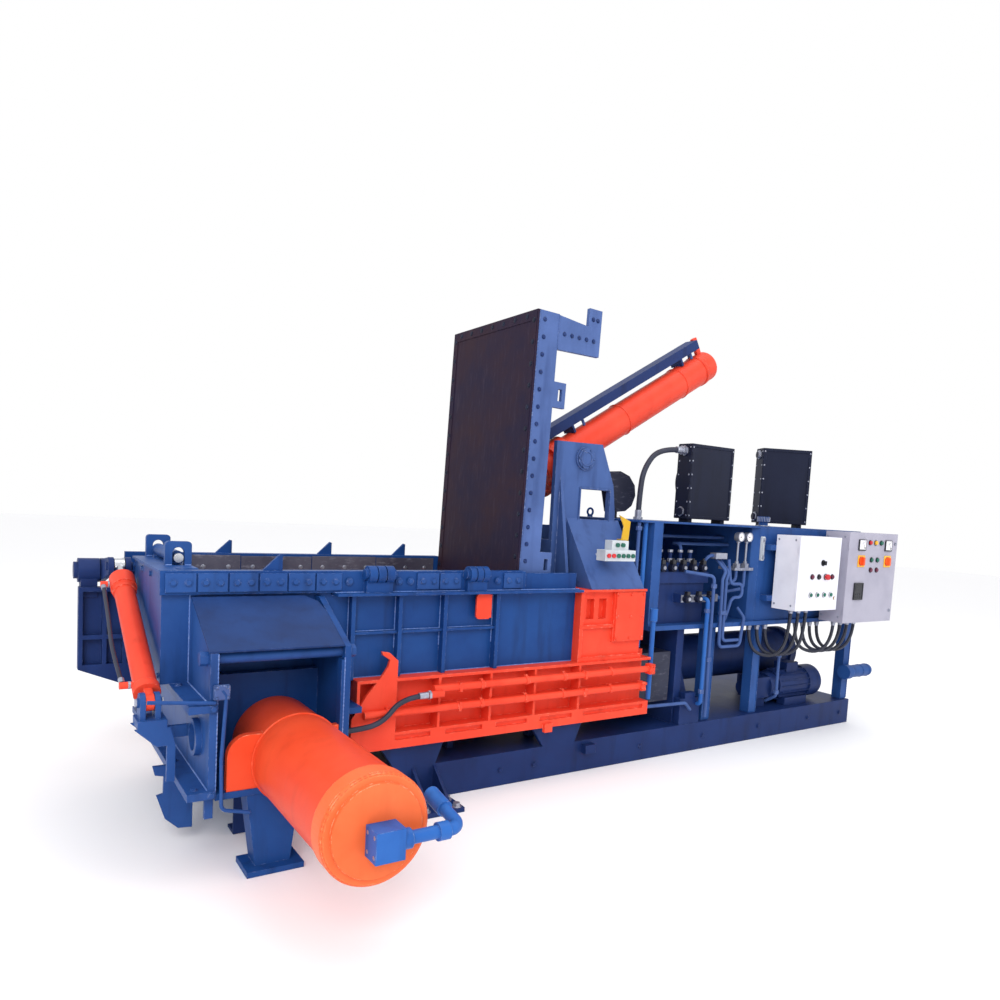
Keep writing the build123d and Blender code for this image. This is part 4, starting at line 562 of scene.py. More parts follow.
def lidPoint(along, out, across):
    u = (math.sin(lid["lean"]), math.cos(lid["lean"]))
    w = (math.cos(lid["lean"]), -math.sin(lid["lean"]))
    out -= lid["offset"]
    return (lid["hinge"][0] + u[0] * along + w[0] * out, across, lid["hinge"][1] + u[1] * along + w[1] * out)


lidIn = (-math.cos(lid["lean"]), 0, math.sin(lid["lean"]))

barrel = {"x": -0.124, "z": 1.94, "tilt": math.radians(31), "tube": 0.11, "head": -0.205, "rod": 0.05}


def barrelPoint(along, above=0.0, across=0.0):
    c, s = math.cos(barrel["tilt"]), math.sin(barrel["tilt"])
    return (barrel["x"] + along * c - above * s, across, barrel["z"] + along * s + above * c)


barrelWay = (math.cos(barrel["tilt"]), 0, math.sin(barrel["tilt"]))


def addFrame(mesh, x, y, z, width, height, rim, depth):
    # rectangular surround in a plane that faces -Y; x and z are its middle, y its back
    for side in (-1, 1):
        addBox(mesh, (x + side * (width / 2 - rim / 2) - rim / 2, y - depth, z - height / 2),
               (x + side * (width / 2 - rim / 2) + rim / 2, y, z + height / 2))
        addBox(mesh, (x - width / 2 + rim, y - depth, z + side * (height / 2 - rim / 2) - rim / 2),
               (x + width / 2 - rim, y, z + side * (height / 2 - rim / 2) + rim / 2))


def addCollar(mesh, start, end, outer, inner, sides=24):
    # short sleeve round an axis
    start, end = Vector(start), Vector(end)
    matrix = aimed(end - start)
    rings = []
    for place, radius in ((start, inner), (start, outer), (end, outer), (end, inner)):
        spot = Matrix.Translation(place) @ matrix
        rings.append([mesh.verts.new(spot @ Vector((radius * math.cos(a), radius * math.sin(a), 0)))
                      for a in turns(sides)])
    for k in range(4):
        low, high = rings[k], rings[(k + 1) % 4]
        for i in range(sides):
            mesh.faces.new((low[i], low[(i + 1) % sides], high[(i + 1) % sides], high[i]))


def addPlate(mesh, outline, push):
    # flat plate: corners in space, and a vector for its thickness
    low = [mesh.verts.new(p) for p in outline]
    high = [mesh.verts.new(Vector(p) + Vector(push)) for p in outline]
    mesh.faces.new(low)
    mesh.faces.new(list(reversed(high)))
    for i in range(len(low)):
        k = (i + 1) % len(low)
        mesh.faces.new((low[k], low[i], high[i], high[k]))


def frontWay(angle):
    # unit vector in the plane that the photograph sees from the front
    return Vector((math.cos(angle), 0, math.sin(angle)))


def addNut(mesh, start, end, across):
    addRod(mesh, start, end, across * 0.577, 6)  # across its flats


# charge box: lining sheets, welds and bolts
box = {"inner": 0.4835, "back": 0.4878, "outer": 0.519, "ribs": (-1.75, -1.492, -1.226, -0.891),
       "edges": (-2.452, -2.03, -1.6, -1.17, -0.745)}
sheets = bmesh.new()
rows = []
for side in (-1, 1):
    inner, back = side * box["inner"], side * box["back"]
    for k, (x0, x1) in enumerate(zip(box["edges"], box["edges"][1:])):
        addBox(sheets, (x0 + 0.002, min(inner, back), 0.715),
               (x1 - 0.002, max(inner, back), 1.238 - 0.004 * (k % 2)))
        for z in (0.79, 0.975, 1.17):
            rows.append(((0, -side, 0), spread((x0 + 0.07, inner, z), (x1 - 0.07, inner, z), 3)))
makePiece("boxLiningSheets", boxLining, sheets, 0.001)
growBolts("liningBolts", zincSteel, rows, 0.017, 0.003)

pads = {"start": -2.623, "pitch": (-0.724 + 2.623) / 14, "knuckles": ((-1.725, -1.522), (-1.14, -0.955))}
padBolts = []
for k in range(14):
    for x in (pads["start"] + pads["pitch"] * k + 0.032, pads["start"] + pads["pitch"] * (k + 1) - 0.04):
        if not any(low < x < high for low, high in pads["knuckles"]):
            padBolts.append((x, -0.558, 1.196))
farBolts = [(x, 0.558, z) for x, y, z in padBolts if x > -1.9]
growBolts("rimPadBolts", machineBlue, [(near, padBolts), (far, farBolts)], 0.024, 0.009)


def wallSeams(ribs, reach, out, low, high, runs):
    # beads up both sides of each rib and along the runs, on both walls
    lines = []
    for face in (-1, 1):
        for x in ribs:
            lines += [[(x + side * reach, face * out, z) for z in (low, high)] for side in (-1, 1)]
        lines += [[(x, face * y, z) for x in (start, end)] for start, end, y, z in runs]
    return lines


seams = wallSeams(box["ribs"], 0.012, box["outer"], 0.846, 1.126, (
    (-1.85, -0.312, 0.5195, 1.1262), (-1.85, -0.312, 0.55, 1.142), (-1.74, -0.9, 0.519, 0.9395),
    (-1.74, -0.9, 0.519, 0.9245), (-1.73, -0.312, 0.519, 0.701)))
seams += [((x, y, low), (x, y, high)) for x, y, low, high in (
    (-2.48, -0.9275, 0.372, 0.948), (-1.9365, -0.9285, 0.372, 0.9), (-1.907, -0.5195, 0.372, 1.12))]
seams.append(((-2.479, -0.6, 0.364), (-2.479, -0.925, 0.364)))
seams += [((-2.512, -0.925, z), (-2.512, 0.5, z)) for z in (0.7415, 0.3815)]
seams.append(((-2.5125, -0.518, 0.7415), (-2.5125, -0.518, 1.232)))
for y in (-0.2805, -0.2495, 0.2495, 0.2805):
    seams += [((start, y, 1.249), (end, y, 1.249)) for start, end in ((-2.576, -2.548), (-2.49, -2.463))]
# the box's weld beads take the lighter blue, a painted highlight along with their spatter
growLines("boxSeams", "seams", weldBlueWithPaintedHighlight, seams, 0.0036, 0.009)

# orange channel and end frame
channel = {"stiffeners": (-1.26, -0.935, -0.631, -0.3),
           "pipes": ((-0.62, 0.632, -1.3), (-0.62, 0.527, -1.69))}
seams = wallSeams(channel["stiffeners"], 0.0085, 0.5195, 0.418, 0.683, (
    (-1.715, 0.278, 0.5195, 0.6835), (-1.715, 0.278, 0.5195, 0.4165), (-0.305, -0.045, 0.5805, 0.9215),
    (-0.305, -0.045, 0.5805, 0.905), (-0.305, 0.2, 0.5805, 0.725)))
growLines("channelSeams", "seams", signalOrange, seams, 0.0036, 0.009)
rows = [(near, [(x, y, z) for x in across for z in levels]) for y, across, levels in (
    (-0.592, (-0.022, 0.085, 0.19), (0.832, 0.968, 1.106)), (-0.65, (0.246, 0.264), (0.612, 0.652)),
    (-0.648, (0.179, 0.196), (0.509, 0.545)))]
growBolts("endFrameBolts", signalOrange, rows, 0.014, 0.006)
clips = bmesh.new()
for y, z, start in channel["pipes"]:
    for x in (-1.58, -1.02, -0.72, -0.45, -0.08):
        if x > start:
            addCollar(clips, (x, y, z), (x + 0.022, y, z), 0.0245, 0.0195, 22)
            addBox(clips, (x + 0.002, -0.6175, z + 0.0205), (x + 0.02, -0.6, z + 0.031))
makePiece("channelPipeClips", signalOrange, clips, 0.0008)

# side housing, hood and side cylinder
rows = [(up, [(-2.56, y, 0.74) for y in (-0.9, -0.56, -0.3, 0.0, 0.3)]),
        (up, [(-2.56, y, 0.38) for y in (-0.9, -0.5, -0.2, 0.1)]),
        (near, [(-2.498, -0.942, z) for z in (0.724, 0.364)])]
growBolts("housingBolts", machineBlue, rows, 0.022, 0.01)
cap = {"x": -2.138, "z": 0.47, "radius": 0.203}
rows = [(near, [(-2.13 + a * 0.04, -1.859, 0.45 + b * 0.04) for a, b in square])]
rows.append((left, [(-2.1845, -1.815 + a * 0.028, 0.45 + b * 0.034) for a, b in square]))
growBolts("portBlockBolts", zincSteel, rows, 0.015, 0.0009)
sideRings = bmesh.new()
addRing(sideRings, (cap["x"], -1.67, cap["z"]), far, 0.1955, 0.0045, 56, 8)
addRing(sideRings, (cap["x"], -0.931, cap["z"]), far, 0.1955, 0.0055, 56, 8)
makePiece("sideBarrelWelds", barrelOrange, sideRings, 0, True)
skin = bmesh.new()
for y0, y1, grow0, grow1 in ((-1.672, -1.744, 0.0012, 0.0012), (-1.744, -1.7525, 0.0012, -0.0026),
                             (-1.7525, -1.7572, -0.0026, -0.011), (-1.7562, -1.7711, -0.0328, -0.0328)):
    start, end = (cap["x"], y0, cap["z"]), (cap["x"], y1, cap["z"])
    addRod(skin, start, end, cap["radius"] + grow0, 64, cap["radius"] + grow1)
makePiece("sideCapPaint", capOrange, skin, 0.0006)
growLines("housingPipe", "pipes", machineBlue, [
    [(-2.747, -0.945, 0.775), (-2.69, -0.945, 0.769), (-2.49, -0.945, 0.75)],
    [(-2.468, -0.947, 0.802), (-2.45, -0.947, 0.775), (-2.464, -0.947, 0.51), (-2.459, -0.947, 0.298),
     (-2.341, -0.947, 0.269)],
], 0.008, 0.03)
flange = bmesh.new()
addBox(flange, (-2.5, -0.953, 0.76), (-2.436, -0.931, 0.822))
makePiece("portFlange", lidBlue, flange, 0.003)
rows = [(near, [(-2.468 + a * 0.022, -0.953, 0.791 + b * 0.022) for a, b in square])]
growBolts("flangeBolts", lidBlue, rows, 0.01, 0.005)

# tower: bearing caps, weld beads and bolts
def bearing(across):
    return (barrel["x"], across, barrel["z"])


caps = bmesh.new()
for side in (-1, 1):
    addRod(caps, bearing(side * 0.3125), bearing(side * 0.3215), 0.064, 40)
    addCollar(caps, bearing(side * 0.3205), bearing(side * 0.3255), 0.05, 0.038, 40)
makePiece("bearingCaps", towerBlue, caps, 0.0015)
rows = [((0, side, 0), circlePoints(bearing(side * 0.3215), far, 0.057, 6)) for side in (-1, 1)]
growBolts("bearingBolts", towerBlue, rows, 0.011, 0.005)
seams = []
for side in (-1, 1):
    for x0, x1, y, z0, z1 in ((-0.3115, -0.3115, 0.3015, 1.145, 1.77),
                              (-0.2865, -0.2865, 0.3015, 1.145, 1.77),
                              (-0.345, 0.155, 0.3015, 1.1425, 1.1425),
                              (-0.345, 0.155, 0.2665, 1.1425, 1.1425)):
        seams.append([(x0, side * y, z0), (x1, side * y, z1)])
growLines("towerSeams", "seams", lidBlue, seams, 0.0042, 0.01)
windowRim = bmesh.new()
for side in (-1, 1):
    addFrame(windowRim, -0.021, side * 0.3 + (0 if side < 0 else 0.008), 1.624, 0.262, 0.272, 0.01, 0.008)
makePiece("towerWindowRims", towerBlue, windowRim, 0.001)

# curved guard plate behind the tower
guard = [(0.462, 1.905), (0.56, 1.915), (0.65, 1.885), (0.708, 1.82), (0.72, 1.745), (0.69, 1.67),
         (0.63, 1.628), (0.54, 1.618)]
shield = bmesh.new()
nearEdge = [shield.verts.new((x, 0.115, z)) for x, z in guard]
farEdge = [shield.verts.new((x, 0.245, z)) for x, z in guard]
for i in range(len(guard) - 1):
    shield.faces.new((nearEdge[i], nearEdge[i + 1], farEdge[i + 1], farEdge[i]))
bmesh.ops.solidify(shield, geom=shield.faces[:], thickness=0.006)
addBox(shield, (0.54, 0.14, 1.5725), (0.64, 0.22, 1.58))
addBox(shield, (0.584, 0.165, 1.578), (0.596, 0.195, 1.626))
for y in (0.115, 0.241):
    addPlate(shield, [(x, y, z) for x, z in guard], (0, 0.004, 0))
bmesh.ops.recalc_face_normals(shield, faces=shield.faces[:])
# the guard takes the rams' near-black steel with its painted shade
makePiece("curvedGuard", ramSteelPaintedShade, shield, 0.001)

# lid: edge strips and their screws, side bolts, hook bolts, weld beads
length, half = lid["length"], lid["half"]
strips = bmesh.new()
thin = Vector(lidIn) * 0.0035
edge = ((0.01, 0.004), (length - 0.006, 0.004), (length - 0.006, 0.052), (0.01, 0.052))
for side in (-1, 1):
    addPlate(strips, [lidPoint(along, 0, side * (half - inset)) for along, inset in edge], thin)
edge = ((0.004, 0.053 - half), (0.004, half - 0.053), (0.06, half - 0.053), (0.06, 0.053 - half))
addPlate(strips, [lidPoint(length - down, 0, across) for down, across in edge], thin)
makePiece("lidWearStrips", wearPlate, strips, 0.0008, body="lid")
ends = [[lidPoint(along, -0.0035, side * (half - 0.028)) for along in (0.06, length - 0.06)]
        for side in (-1, 1)]
rows = [(lidIn, spread(low, high, 15)) for low, high in ends]
low, high = [lidPoint(length - 0.03, -0.0035, side * (half - 0.1)) for side in (-1, 1)]
rows.append((lidIn, spread(low, high, 7)))
growBolts("lidFaceScrews", coolerBlack, rows, 0.02, 0.003, body="lid")
rows = []
for side in (-1, 1):
    places = spread(lidPoint(0.11, 0.052, side * half), lidPoint(length - 0.05, 0.052, side * half), 18)
    places += [lidPoint(length - 0.105, 0.2 + 0.055 * k, side * half) for k in range(5)]
    places += [lidPoint(length + 0.02, 0.405 + 0.035 * k, side * half) for k in range(2)]
    rows.append(((0, side, 0), places))
# the lid's side bolts take the darkened box blue, a painted shade
growBolts("lidEdgeBolts", boxBluePaintedShade, rows, 0.017, 0.007, body="lid")
seams = []
for side in (-1, 1):
    y = side * (half + 0.0005)
    seams.append([lidPoint(0.005, 0.0162, y), lidPoint(length - 0.002, 0.0162, y)])
    seams.append([lidPoint(length - 0.195, 0.1555, y), lidPoint(length - 0.006, 0.1555, y)])
    for across in (0.445, 0.0655, 0.097):
        seams.append([lidPoint(along, 0.037, side * across) for along in (0.02, length - 0.03)])
    for along in (0.484, 1.18, 1.52):
        seams.append([lidPoint(along, 0.037, side * across) for across in (0.1, 0.44)])
growLines("lidSeams", "seams", lidBlue, seams, 0.0038, 0.01, body="lid")

# lid cylinder: gland screws, weld rings and feed pipes
rows = [(tuple(-v for v in barrelWay), circlePoints(barrelPoint(barrel["head"]), barrelWay, 0.145, 12))]
rows.append((barrelWay, circlePoints(barrelPoint(barrel["head"] + 0.046), barrelWay, 0.145, 12, 0.26)))
growBolts("lidGlandScrews", lidOrange, rows, 0.022, 0.011, body="lid_barrel")
rings = bmesh.new()
for along in (-0.0725, 0.0725, barrel["head"] + 0.049, 0.62, 1.24):
    addRing(rings, barrelPoint(along), barrelWay, barrel["tube"] + (0.001 if abs(along) > 0.1 else 0.004),
            0.005, 48, 8)
addCollar(rings, barrelPoint(1.46), barrelPoint(1.49), barrel["tube"] + 0.005, barrel["tube"] - 0.002, 56)
makePiece("lidBarrelWelds", lidOrange, rings, 0, True, body="lid_barrel")
wiper = bmesh.new()
addCollar(wiper, barrelPoint(barrel["head"] - 0.01), barrelPoint(barrel["head"] + 0.002), 0.07,
          barrel["rod"] + 0.001, 36)
makePiece("lidRodWiper", blackPlastic, wiper, 0.001, body="lid_barrel")
growLines("lidFeedPipes", "pipes", towerBlue, [
    [barrelPoint(along, above, across)
     for along, above in ((start, foot), (start, top), (end, top), (end, 0.108))]
    for start, end, foot, top, across in ((-0.15, 1.47, 0.13, 0.196, 0.024),
                                          (0.3, 1.44, 0.108, 0.184, -0.026))
], 0.01, 0.03, body="lid_barrel")

# door frame and door cylinder
rows = [(far, [(x, 0.6, z) for x in (-2.84, -2.72, -2.6, -2.53) for z in (0.612, 1.037)])]
# the hinge frame's bolts take the darkened box blue, a painted shade
growBolts("hingeFrameBolts", boxBluePaintedShade, rows, 0.02, 0.008)
fittings = bmesh.new()
addNut(fittings, doorAxis(0.12, -0.056), doorAxis(0.12, -0.068), 0.03)
addNut(fittings, doorAxis(doorPins - 0.174, -0.06), doorAxis(doorPins - 0.174, -0.07), 0.03)
for along in (hoseLow + 0.001, hoseHigh - 0.029):
    addRod(fittings, doorAxis(along, -0.0885), doorAxis(along + 0.028, -0.089), 0.0125, 20)
makePiece("doorHoseEnds", zincSteel, fittings, 0.001, body="door_barrel")
wiper = bmesh.new()
addCollar(wiper, doorAxis(doorPins - 0.131), doorAxis(doorPins - 0.122), 0.034, 0.0265, 30)
makePiece("doorRodWiper", blackPlastic, wiper, 0.001, body="door_barrel")
pins = bmesh.new()
for side in (-1, 1):
    addNut(pins, (-2.7 + side * 0.047, -0.696, 0.712), (-2.7 + side * 0.056, -0.696, 0.712), 0.03)
makePiece("doorPinNuts", zincSteel, pins)

# fittings at the ends of the hoses, and conduit glands
fittings = bmesh.new()
for start, end, radius in (((-1.361, -0.655, 0.612), (-1.413, -0.655, 0.611), 0.0178),
                           ((-1.9065, -0.655, 0.47), (-1.858, -0.655, 0.4708), 0.0178),
                           ((0.866, -0.185, 2.083), (0.8, -0.185, 2.0815), 0.024),
                           ((0.4757, -0.185, 1.5725), (0.4757, -0.185, 1.64), 0.0238)):
    addRod(fittings, start, end, radius, 24)
for start, end, across in (((-1.345, -0.655, 0.612), (-1.36, -0.655, 0.612), 0.042),
                           ((-1.9075, -0.655, 0.47), (-1.895, -0.655, 0.47), 0.044),
                           ((0.8675, -0.185, 2.083), (0.845, -0.185, 2.083), 0.056),
                           ((0.4757, -0.185, 1.5722), (0.4757, -0.185, 1.592), 0.058)):
    addNut(fittings, start, end, across)
makePiece("hoseFittings", zincSteel, fittings, 0.0012)
glands = bmesh.new()
for kind in ("small", "large"):
    for x in conduits[kind]:
        for px, py, top in ((x, -0.65, conduits[kind + "Top"]), (x - 0.28, -0.515, conduits["level"])):
            addNut(glands, (px, py, top - 0.0005), (px, py, top - 0.014), 0.036)
            addRod(glands, (px, py, top - 0.014), (px, py, top - 0.033), 0.0165, 22, 0.015)
makePiece("conduitGlands", zincSteel, glands, 0.001)

# oil coolers: flanged edges, screws, core fins behind and a wire guard over the fan
coolers = {"left": {"x": 1.115, "y": -0.185, "width": 0.446, "height": 0.535, "turn": 0.0},
           "right": {"x": 2.03, "y": -0.17, "width": 0.4, "height": 0.59, "turn": -28.0}}
finGap = 0.012
for side, cooler in coolers.items():
    turned = Matrix.Rotation(math.radians(cooler["turn"]), 4, "Z")
    place = Matrix.Translation((cooler["x"], cooler["y"], 1.572)) @ turned
    width, height = cooler["width"], cooler["height"]
    middle = 0.026 + height / 2
    face = bmesh.new()
    addFrame(face, 0, -0.065, middle, width - 0.004, height - 0.004, 0.022, 0.004)
    addFrame(face, 0, 0.069, middle, width - 0.004, height - 0.004, 0.026, 0.004)
    for x in spread((-width / 2 + 0.03, 0, 0), (width / 2 - 0.03, 0, 0), 9):
        addRod(face, (x[0], 0.068, 0.05), (x[0], 0.068, 0.002 + height), 0.0025, 8)
    makePiece(side + "CoolerFrame", coolerBlack, face, 0.001, place=place)
    growPiece(side + "CoolerFins", "frame", "slats",
              {"Count": int((height - 0.08) / finGap), "Step": (0, 0, finGap),
               "Bar": (width - 0.056, 0.005, 0.0022), "Finish": coolerBlack},
              place=place @ Matrix.Translation((0, 0.0655, 0.066)))
    turn = place.to_3x3()
    rows = []
    for mark in spread((0, 0, 0.05), (0, 0, height), 6):
        for x in (-width / 2 + 0.012, width / 2 - 0.014):
            rows.append((turn @ Vector((0, -1, 0)), [place @ Vector((x, -0.069, mark[2]))]))
        for way in (-1, 1):
            places = [place @ Vector((way * width / 2, y, mark[2])) for y in (-0.05, 0.05)]
            rows.append((turn @ Vector((way, 0, 0)), places))
    growBolts(side + "CoolerScrews", zincSteel, rows, 0.008, 0.003)
    mouth = Vector((0, 0.109, middle))
    reach = width * 0.405
    guardWires = bmesh.new()
    for k in range(8):
        addRing(guardWires, mouth, far, reach * (k + 1) / 8, 0.0016, 40, 6)
    for k in range(6):
        spoke = frontWay(math.pi * k / 6) * reach
        addRod(guardWires, mouth - spoke, mouth + spoke, 0.0022, 8)
    makePiece(side + "FanGuard", zincSteel, guardWires, 0, True, place=place)
    blades = bmesh.new()
    addRod(blades, mouth + Vector((0, -0.034, 0)), mouth + Vector((0, -0.01, 0)), 0.045, 30)
    blade = ((0.042, -0.02, -0.032), (reach * 0.9, -0.045, -0.03), (reach * 0.9, 0.04, -0.012),
             (0.042, 0.02, -0.016))
    for a in turns(7):
        across = Vector((-math.sin(a), 0, math.cos(a)))
        corners = [mouth + frontWay(a) * out + across * wide + Vector((0, y, 0)) for out, wide, y in blade]
        addPlate(blades, corners, Vector((0, 0.003, 0)))
    makePiece(side + "FanBlades", blackPlastic, blades, 0.0005, place=place)
    ports = bmesh.new()
    for z in (0.076, height - 0.024):
        addNut(ports, (-width / 2 - 0.0005, 0, z), (-width / 2 - 0.013, 0, z), 0.064)
    addCollar(ports, (-width / 2 - 0.013, 0, height - 0.024), (-width / 2 - 0.0235, 0, height - 0.024),
              0.0285, 0.0255, 26)
    makePiece(side + "CoolerPorts", zincSteel, ports, 0.001, place=place)

# cabinet doors: caps, bezels, meters, display and locks, all in front of the door's face
doorFace = -0.7585


def capOn(name, body, material, places, rise):
    mesh = bmesh.new()
    for x, z in places:
        addRod(mesh, (x, doorFace - 0.0005, z), (x, doorFace - rise, z), 0.0148, 22)
        addRod(mesh, (x, doorFace - rise, z), (x, doorFace - rise - 0.0025, z), 0.0148, 22, 0.0106)
    makePiece(name, material, mesh, body=body)


capOn("smallRedCaps", "small_panel", darkRedPlastic, [(1.671, 1.231), (1.912, 1.231)], 0.012)
capOn("smallBlackCap", "small_panel", blackPlastic, [(1.751, 1.231)], 0.0125)
capOn("largeGreenCaps", "large_panel", greenPlastic, [(2.401, 1.361), (2.481, 1.361)], 0.012)
capOn("largeRedCaps", "large_panel", darkRedPlastic, [(2.401, 1.283), (2.481, 1.283)], 0.012)
capOn("lampRed", "large_panel", redPlastic, [(2.364, 1.493)], 0.015)
capOn("lampYellow", "large_panel", yellowPlastic, [(2.439, 1.493)], 0.015)
capOn("lampGreen", "large_panel", greenPlastic, [(2.514, 1.493)], 0.015)
smallRow = (1.671, 1.751, 1.832, 1.912)
lamps = [(x, 1.493) for x in (2.364, 2.439, 2.514)]
bezels = {"small_panel": [(x, z) for z in (1.231, 1.099) for x in smallRow] + [(1.788, 1.333)],
          "large_panel": [(x, z) for z in (1.361, 1.283) for x in (2.401, 2.481)] + lamps}
for body, places in bezels.items():
    mesh = bmesh.new()
    for x, z in places:
        outer, inner = (0.0225, 0.0185) if (x, z) in ((1.832, 1.231), (1.788, 1.333)) else (0.0205, 0.0152)
        addCollar(mesh, (x, doorFace - 0.0003, z), (x, doorFace - 0.0042, z), outer, inner, 26)
    makePiece(body + "Bezels", blackPlastic, mesh, body=body)
plates = bmesh.new()
for x in (2.266, 2.62):
    addFrame(plates, x, doorFace - 0.0003, 1.35, 0.09, 0.09, 0.0115, 0.0035)
    for a, b in square:
        corners = [(x + a * across, doorFace - 0.0003, 1.35 + b * rise) for across, rise in
                   ((0.0335, 0.0335), (0.0335, 0.018), (0.018, 0.0335))]
        addPlate(plates, corners, (0, -0.003, 0))
makePiece("isolatorPlates", yellowPlastic, plates, 0.0006, body="large_panel")
cards, marks = bmesh.new(), bmesh.new()
for x, z in ((2.26, 1.473), (2.616, 1.473)):
    addBox(cards, (x - 0.039, doorFace - 0.0096, z - 0.033), (x + 0.039, doorFace - 0.0086, z + 0.037))
    hub = Vector((x + 0.026, doorFace - 0.0099, z - 0.022))
    for k in range(9):
        a = math.pi / 2 + math.pi / 2 * k / 8
        way = frontWay(a)
        addRod(marks, hub + way * 0.043, hub + way * (0.051 if k % 4 else 0.054), 0.0009, 5)
    addRod(marks, hub, hub + frontWay(2.13) * 0.047, 0.0011, 5)
    addRod(marks, hub + Vector((0, 0.001, 0)), hub - Vector((0, 0.0016, 0)), 0.006, 14)
makePiece("meterCards", dialWhite, cards, body="large_panel")
makePiece("meterMarks", blackPlastic, marks, body="large_panel")
screen = bmesh.new()
addFrame(screen, 2.258, doorFace - 0.0078, 1.119, 0.116, 0.13, 0.009, 0.003)
addBox(screen, (2.215, doorFace - 0.0092, 1.118), (2.301, doorFace - 0.0079, 1.172))
for k in range(3):
    for z in (1.068, 1.09):
        addBox(screen, (2.219 + k * 0.028, doorFace - 0.01, z),
               (2.241 + k * 0.028, doorFace - 0.0079, z + 0.014))
makePiece("displayUnit", blackPlastic, screen, 0.0005, body="large_panel")


def addLock(mesh, x, z):
    # quarter-turn lock: ring, sunk insert and the tongue that a key turns
    addCollar(mesh, (x, doorFace - 0.0002, z), (x, doorFace - 0.0055, z), 0.0125, 0.0078, 26)
    addRod(mesh, (x, doorFace - 0.0002, z), (x, doorFace - 0.003, z), 0.0076, 20)
    addBox(mesh, (x - 0.0016, doorFace - 0.0052, z - 0.007), (x + 0.0016, doorFace - 0.0028, z + 0.007))


for name, body, material, x, levels in (("smallDoorLocks", "small_panel", brass, 1.962, (1.43, 1.073)),
                                        ("largeDoorLocks", "large_panel", zincSteel, 2.714, (1.49, 0.96))):
    locks = bmesh.new()
    for z in levels:
        addLock(locks, x, z)
    makePiece(name, material, locks, body=body)
rows = [(way, [(x, y, z) for y in (-0.72, -0.58) for z in levels]) for way, x, levels in (
    (left, 1.506, (1.02, 1.49)), (left, 2.095, (0.92, 1.53)), (right, 2.745, (0.92, 1.53)))]
growBolts("cabinetScrews", zincSteel, rows, 0.01, 0.003)

# gauges: rims, cards, ticks without numbers, needles
gaugeRims, gaugeCards, gaugeMarks = bmesh.new(), bmesh.new(), bmesh.new()
for n, x in enumerate((1.185, 1.275)):
    centre = Vector((x, -0.5, 1.49))
    addCollar(gaugeRims, centre, centre + Vector((0, -0.006, 0)), 0.0335, 0.029, 36)
    addRod(gaugeCards, centre, centre + Vector((0, -0.0022, 0)), 0.029, 36)
    for k in range(11):
        a = math.radians(225 - 27 * k)
        way = frontWay(a)
        start, end = [centre + way * out + Vector((0, -0.0026, 0)) for out in (0.0215, 0.0262)]
        addRod(gaugeMarks, start, end, 0.0008, 5)
    a = math.radians(205 - 40 * n)
    tip = centre + Vector((math.cos(a) * 0.02, -0.003, math.sin(a) * 0.02))
    addRod(gaugeMarks, centre + Vector((0, -0.003, 0)), tip, 0.001, 5)
    addRod(gaugeMarks, centre + Vector((0, -0.0024, 0)), centre + Vector((0, -0.0045, 0)), 0.004, 14)
    addNut(gaugeRims, (x, -0.478, 1.446), (x, -0.478, 1.456), 0.024)
    addNut(gaugeRims, (x, -0.478, 1.3), (x, -0.478, 1.316), 0.026)
makePiece("gaugeRims", zincSteel, gaugeRims, 0.0004)
makePiece("gaugeCards", dialWhite, gaugeCards)
makePiece("gaugeMarks", darkRedPlastic, gaugeMarks)
level = bmesh.new()
for z in (1.345, 1.48):
    addNut(level, (1.417, -0.516, z), (1.417, -0.526, z), 0.02)
addFrame(level, 1.417, -0.516, 1.4125, 0.024, 0.108, 0.004, 0.003)
makePiece("levelGaugeBolts", zincSteel, level, 0.0005)

# valves: coils with plugs, nuts, manifolds and the pipes round them
coils, sockets, nuts = bmesh.new(), bmesh.new(), bmesh.new()
for k in range(5):
    x = 0.46 + 0.098 * k
    addRod(coils, (x, -0.4845, 1.266), (x, -0.4465, 1.266), 0.0265, 24)
    addNut(nuts, (x, -0.4845, 1.266), (x, -0.494, 1.266), 0.024)
    addBox(sockets, (x - 0.016, -0.482, 1.288), (x + 0.016, -0.45, 1.318))
    addRod(sockets, (x, -0.466, 1.318), (x, -0.466, 1.33), 0.008, 14)
    addNut(nuts, (x, -0.34, 1.2965), (x, -0.34, 1.32), 0.036)
    addNut(nuts, (x, -0.34, 1.362), (x, -0.34, 1.3805), 0.034)
    for dx in (-0.024, 0.024):
        for y in (-0.415, -0.262):
            addRod(nuts, (x + dx, y, 1.296), (x + dx, y, 1.302), 0.0055, 12)
for k in range(3):
    x = 0.652 + 0.11 * k
    addRod(coils, (x, -0.5445, 1.06), (x, -0.5085, 1.06), 0.0275, 24)
    addNut(nuts, (x, -0.5445, 1.06), (x, -0.554, 1.06), 0.024)
    addBox(sockets, (x - 0.015, -0.542, 1.084), (x + 0.015, -0.512, 1.11))
makePiece("solenoidCoils", coolerBlack, coils, 0.001)
makePiece("solenoidPlugs", blackPlastic, sockets, 0.002)
makePiece("valveNuts", zincSteel, nuts, 0.0006)
manifolds = bmesh.new()
addBox(manifolds, (0.612, -0.511, 1.034), (0.978, -0.5075, 1.086))
addBox(manifolds, (0.94, -0.5, 1.33), (1.056, -0.44, 1.372))
makePiece("silverManifolds", zincSteel, manifolds, 0.002)
rows = [(near, [(0.628 + 0.056 * k, -0.511, z) for k in range(7) for z in (1.042, 1.078)])]
growBolts("manifoldBolts", zincSteel, rows, 0.008, 0.004)
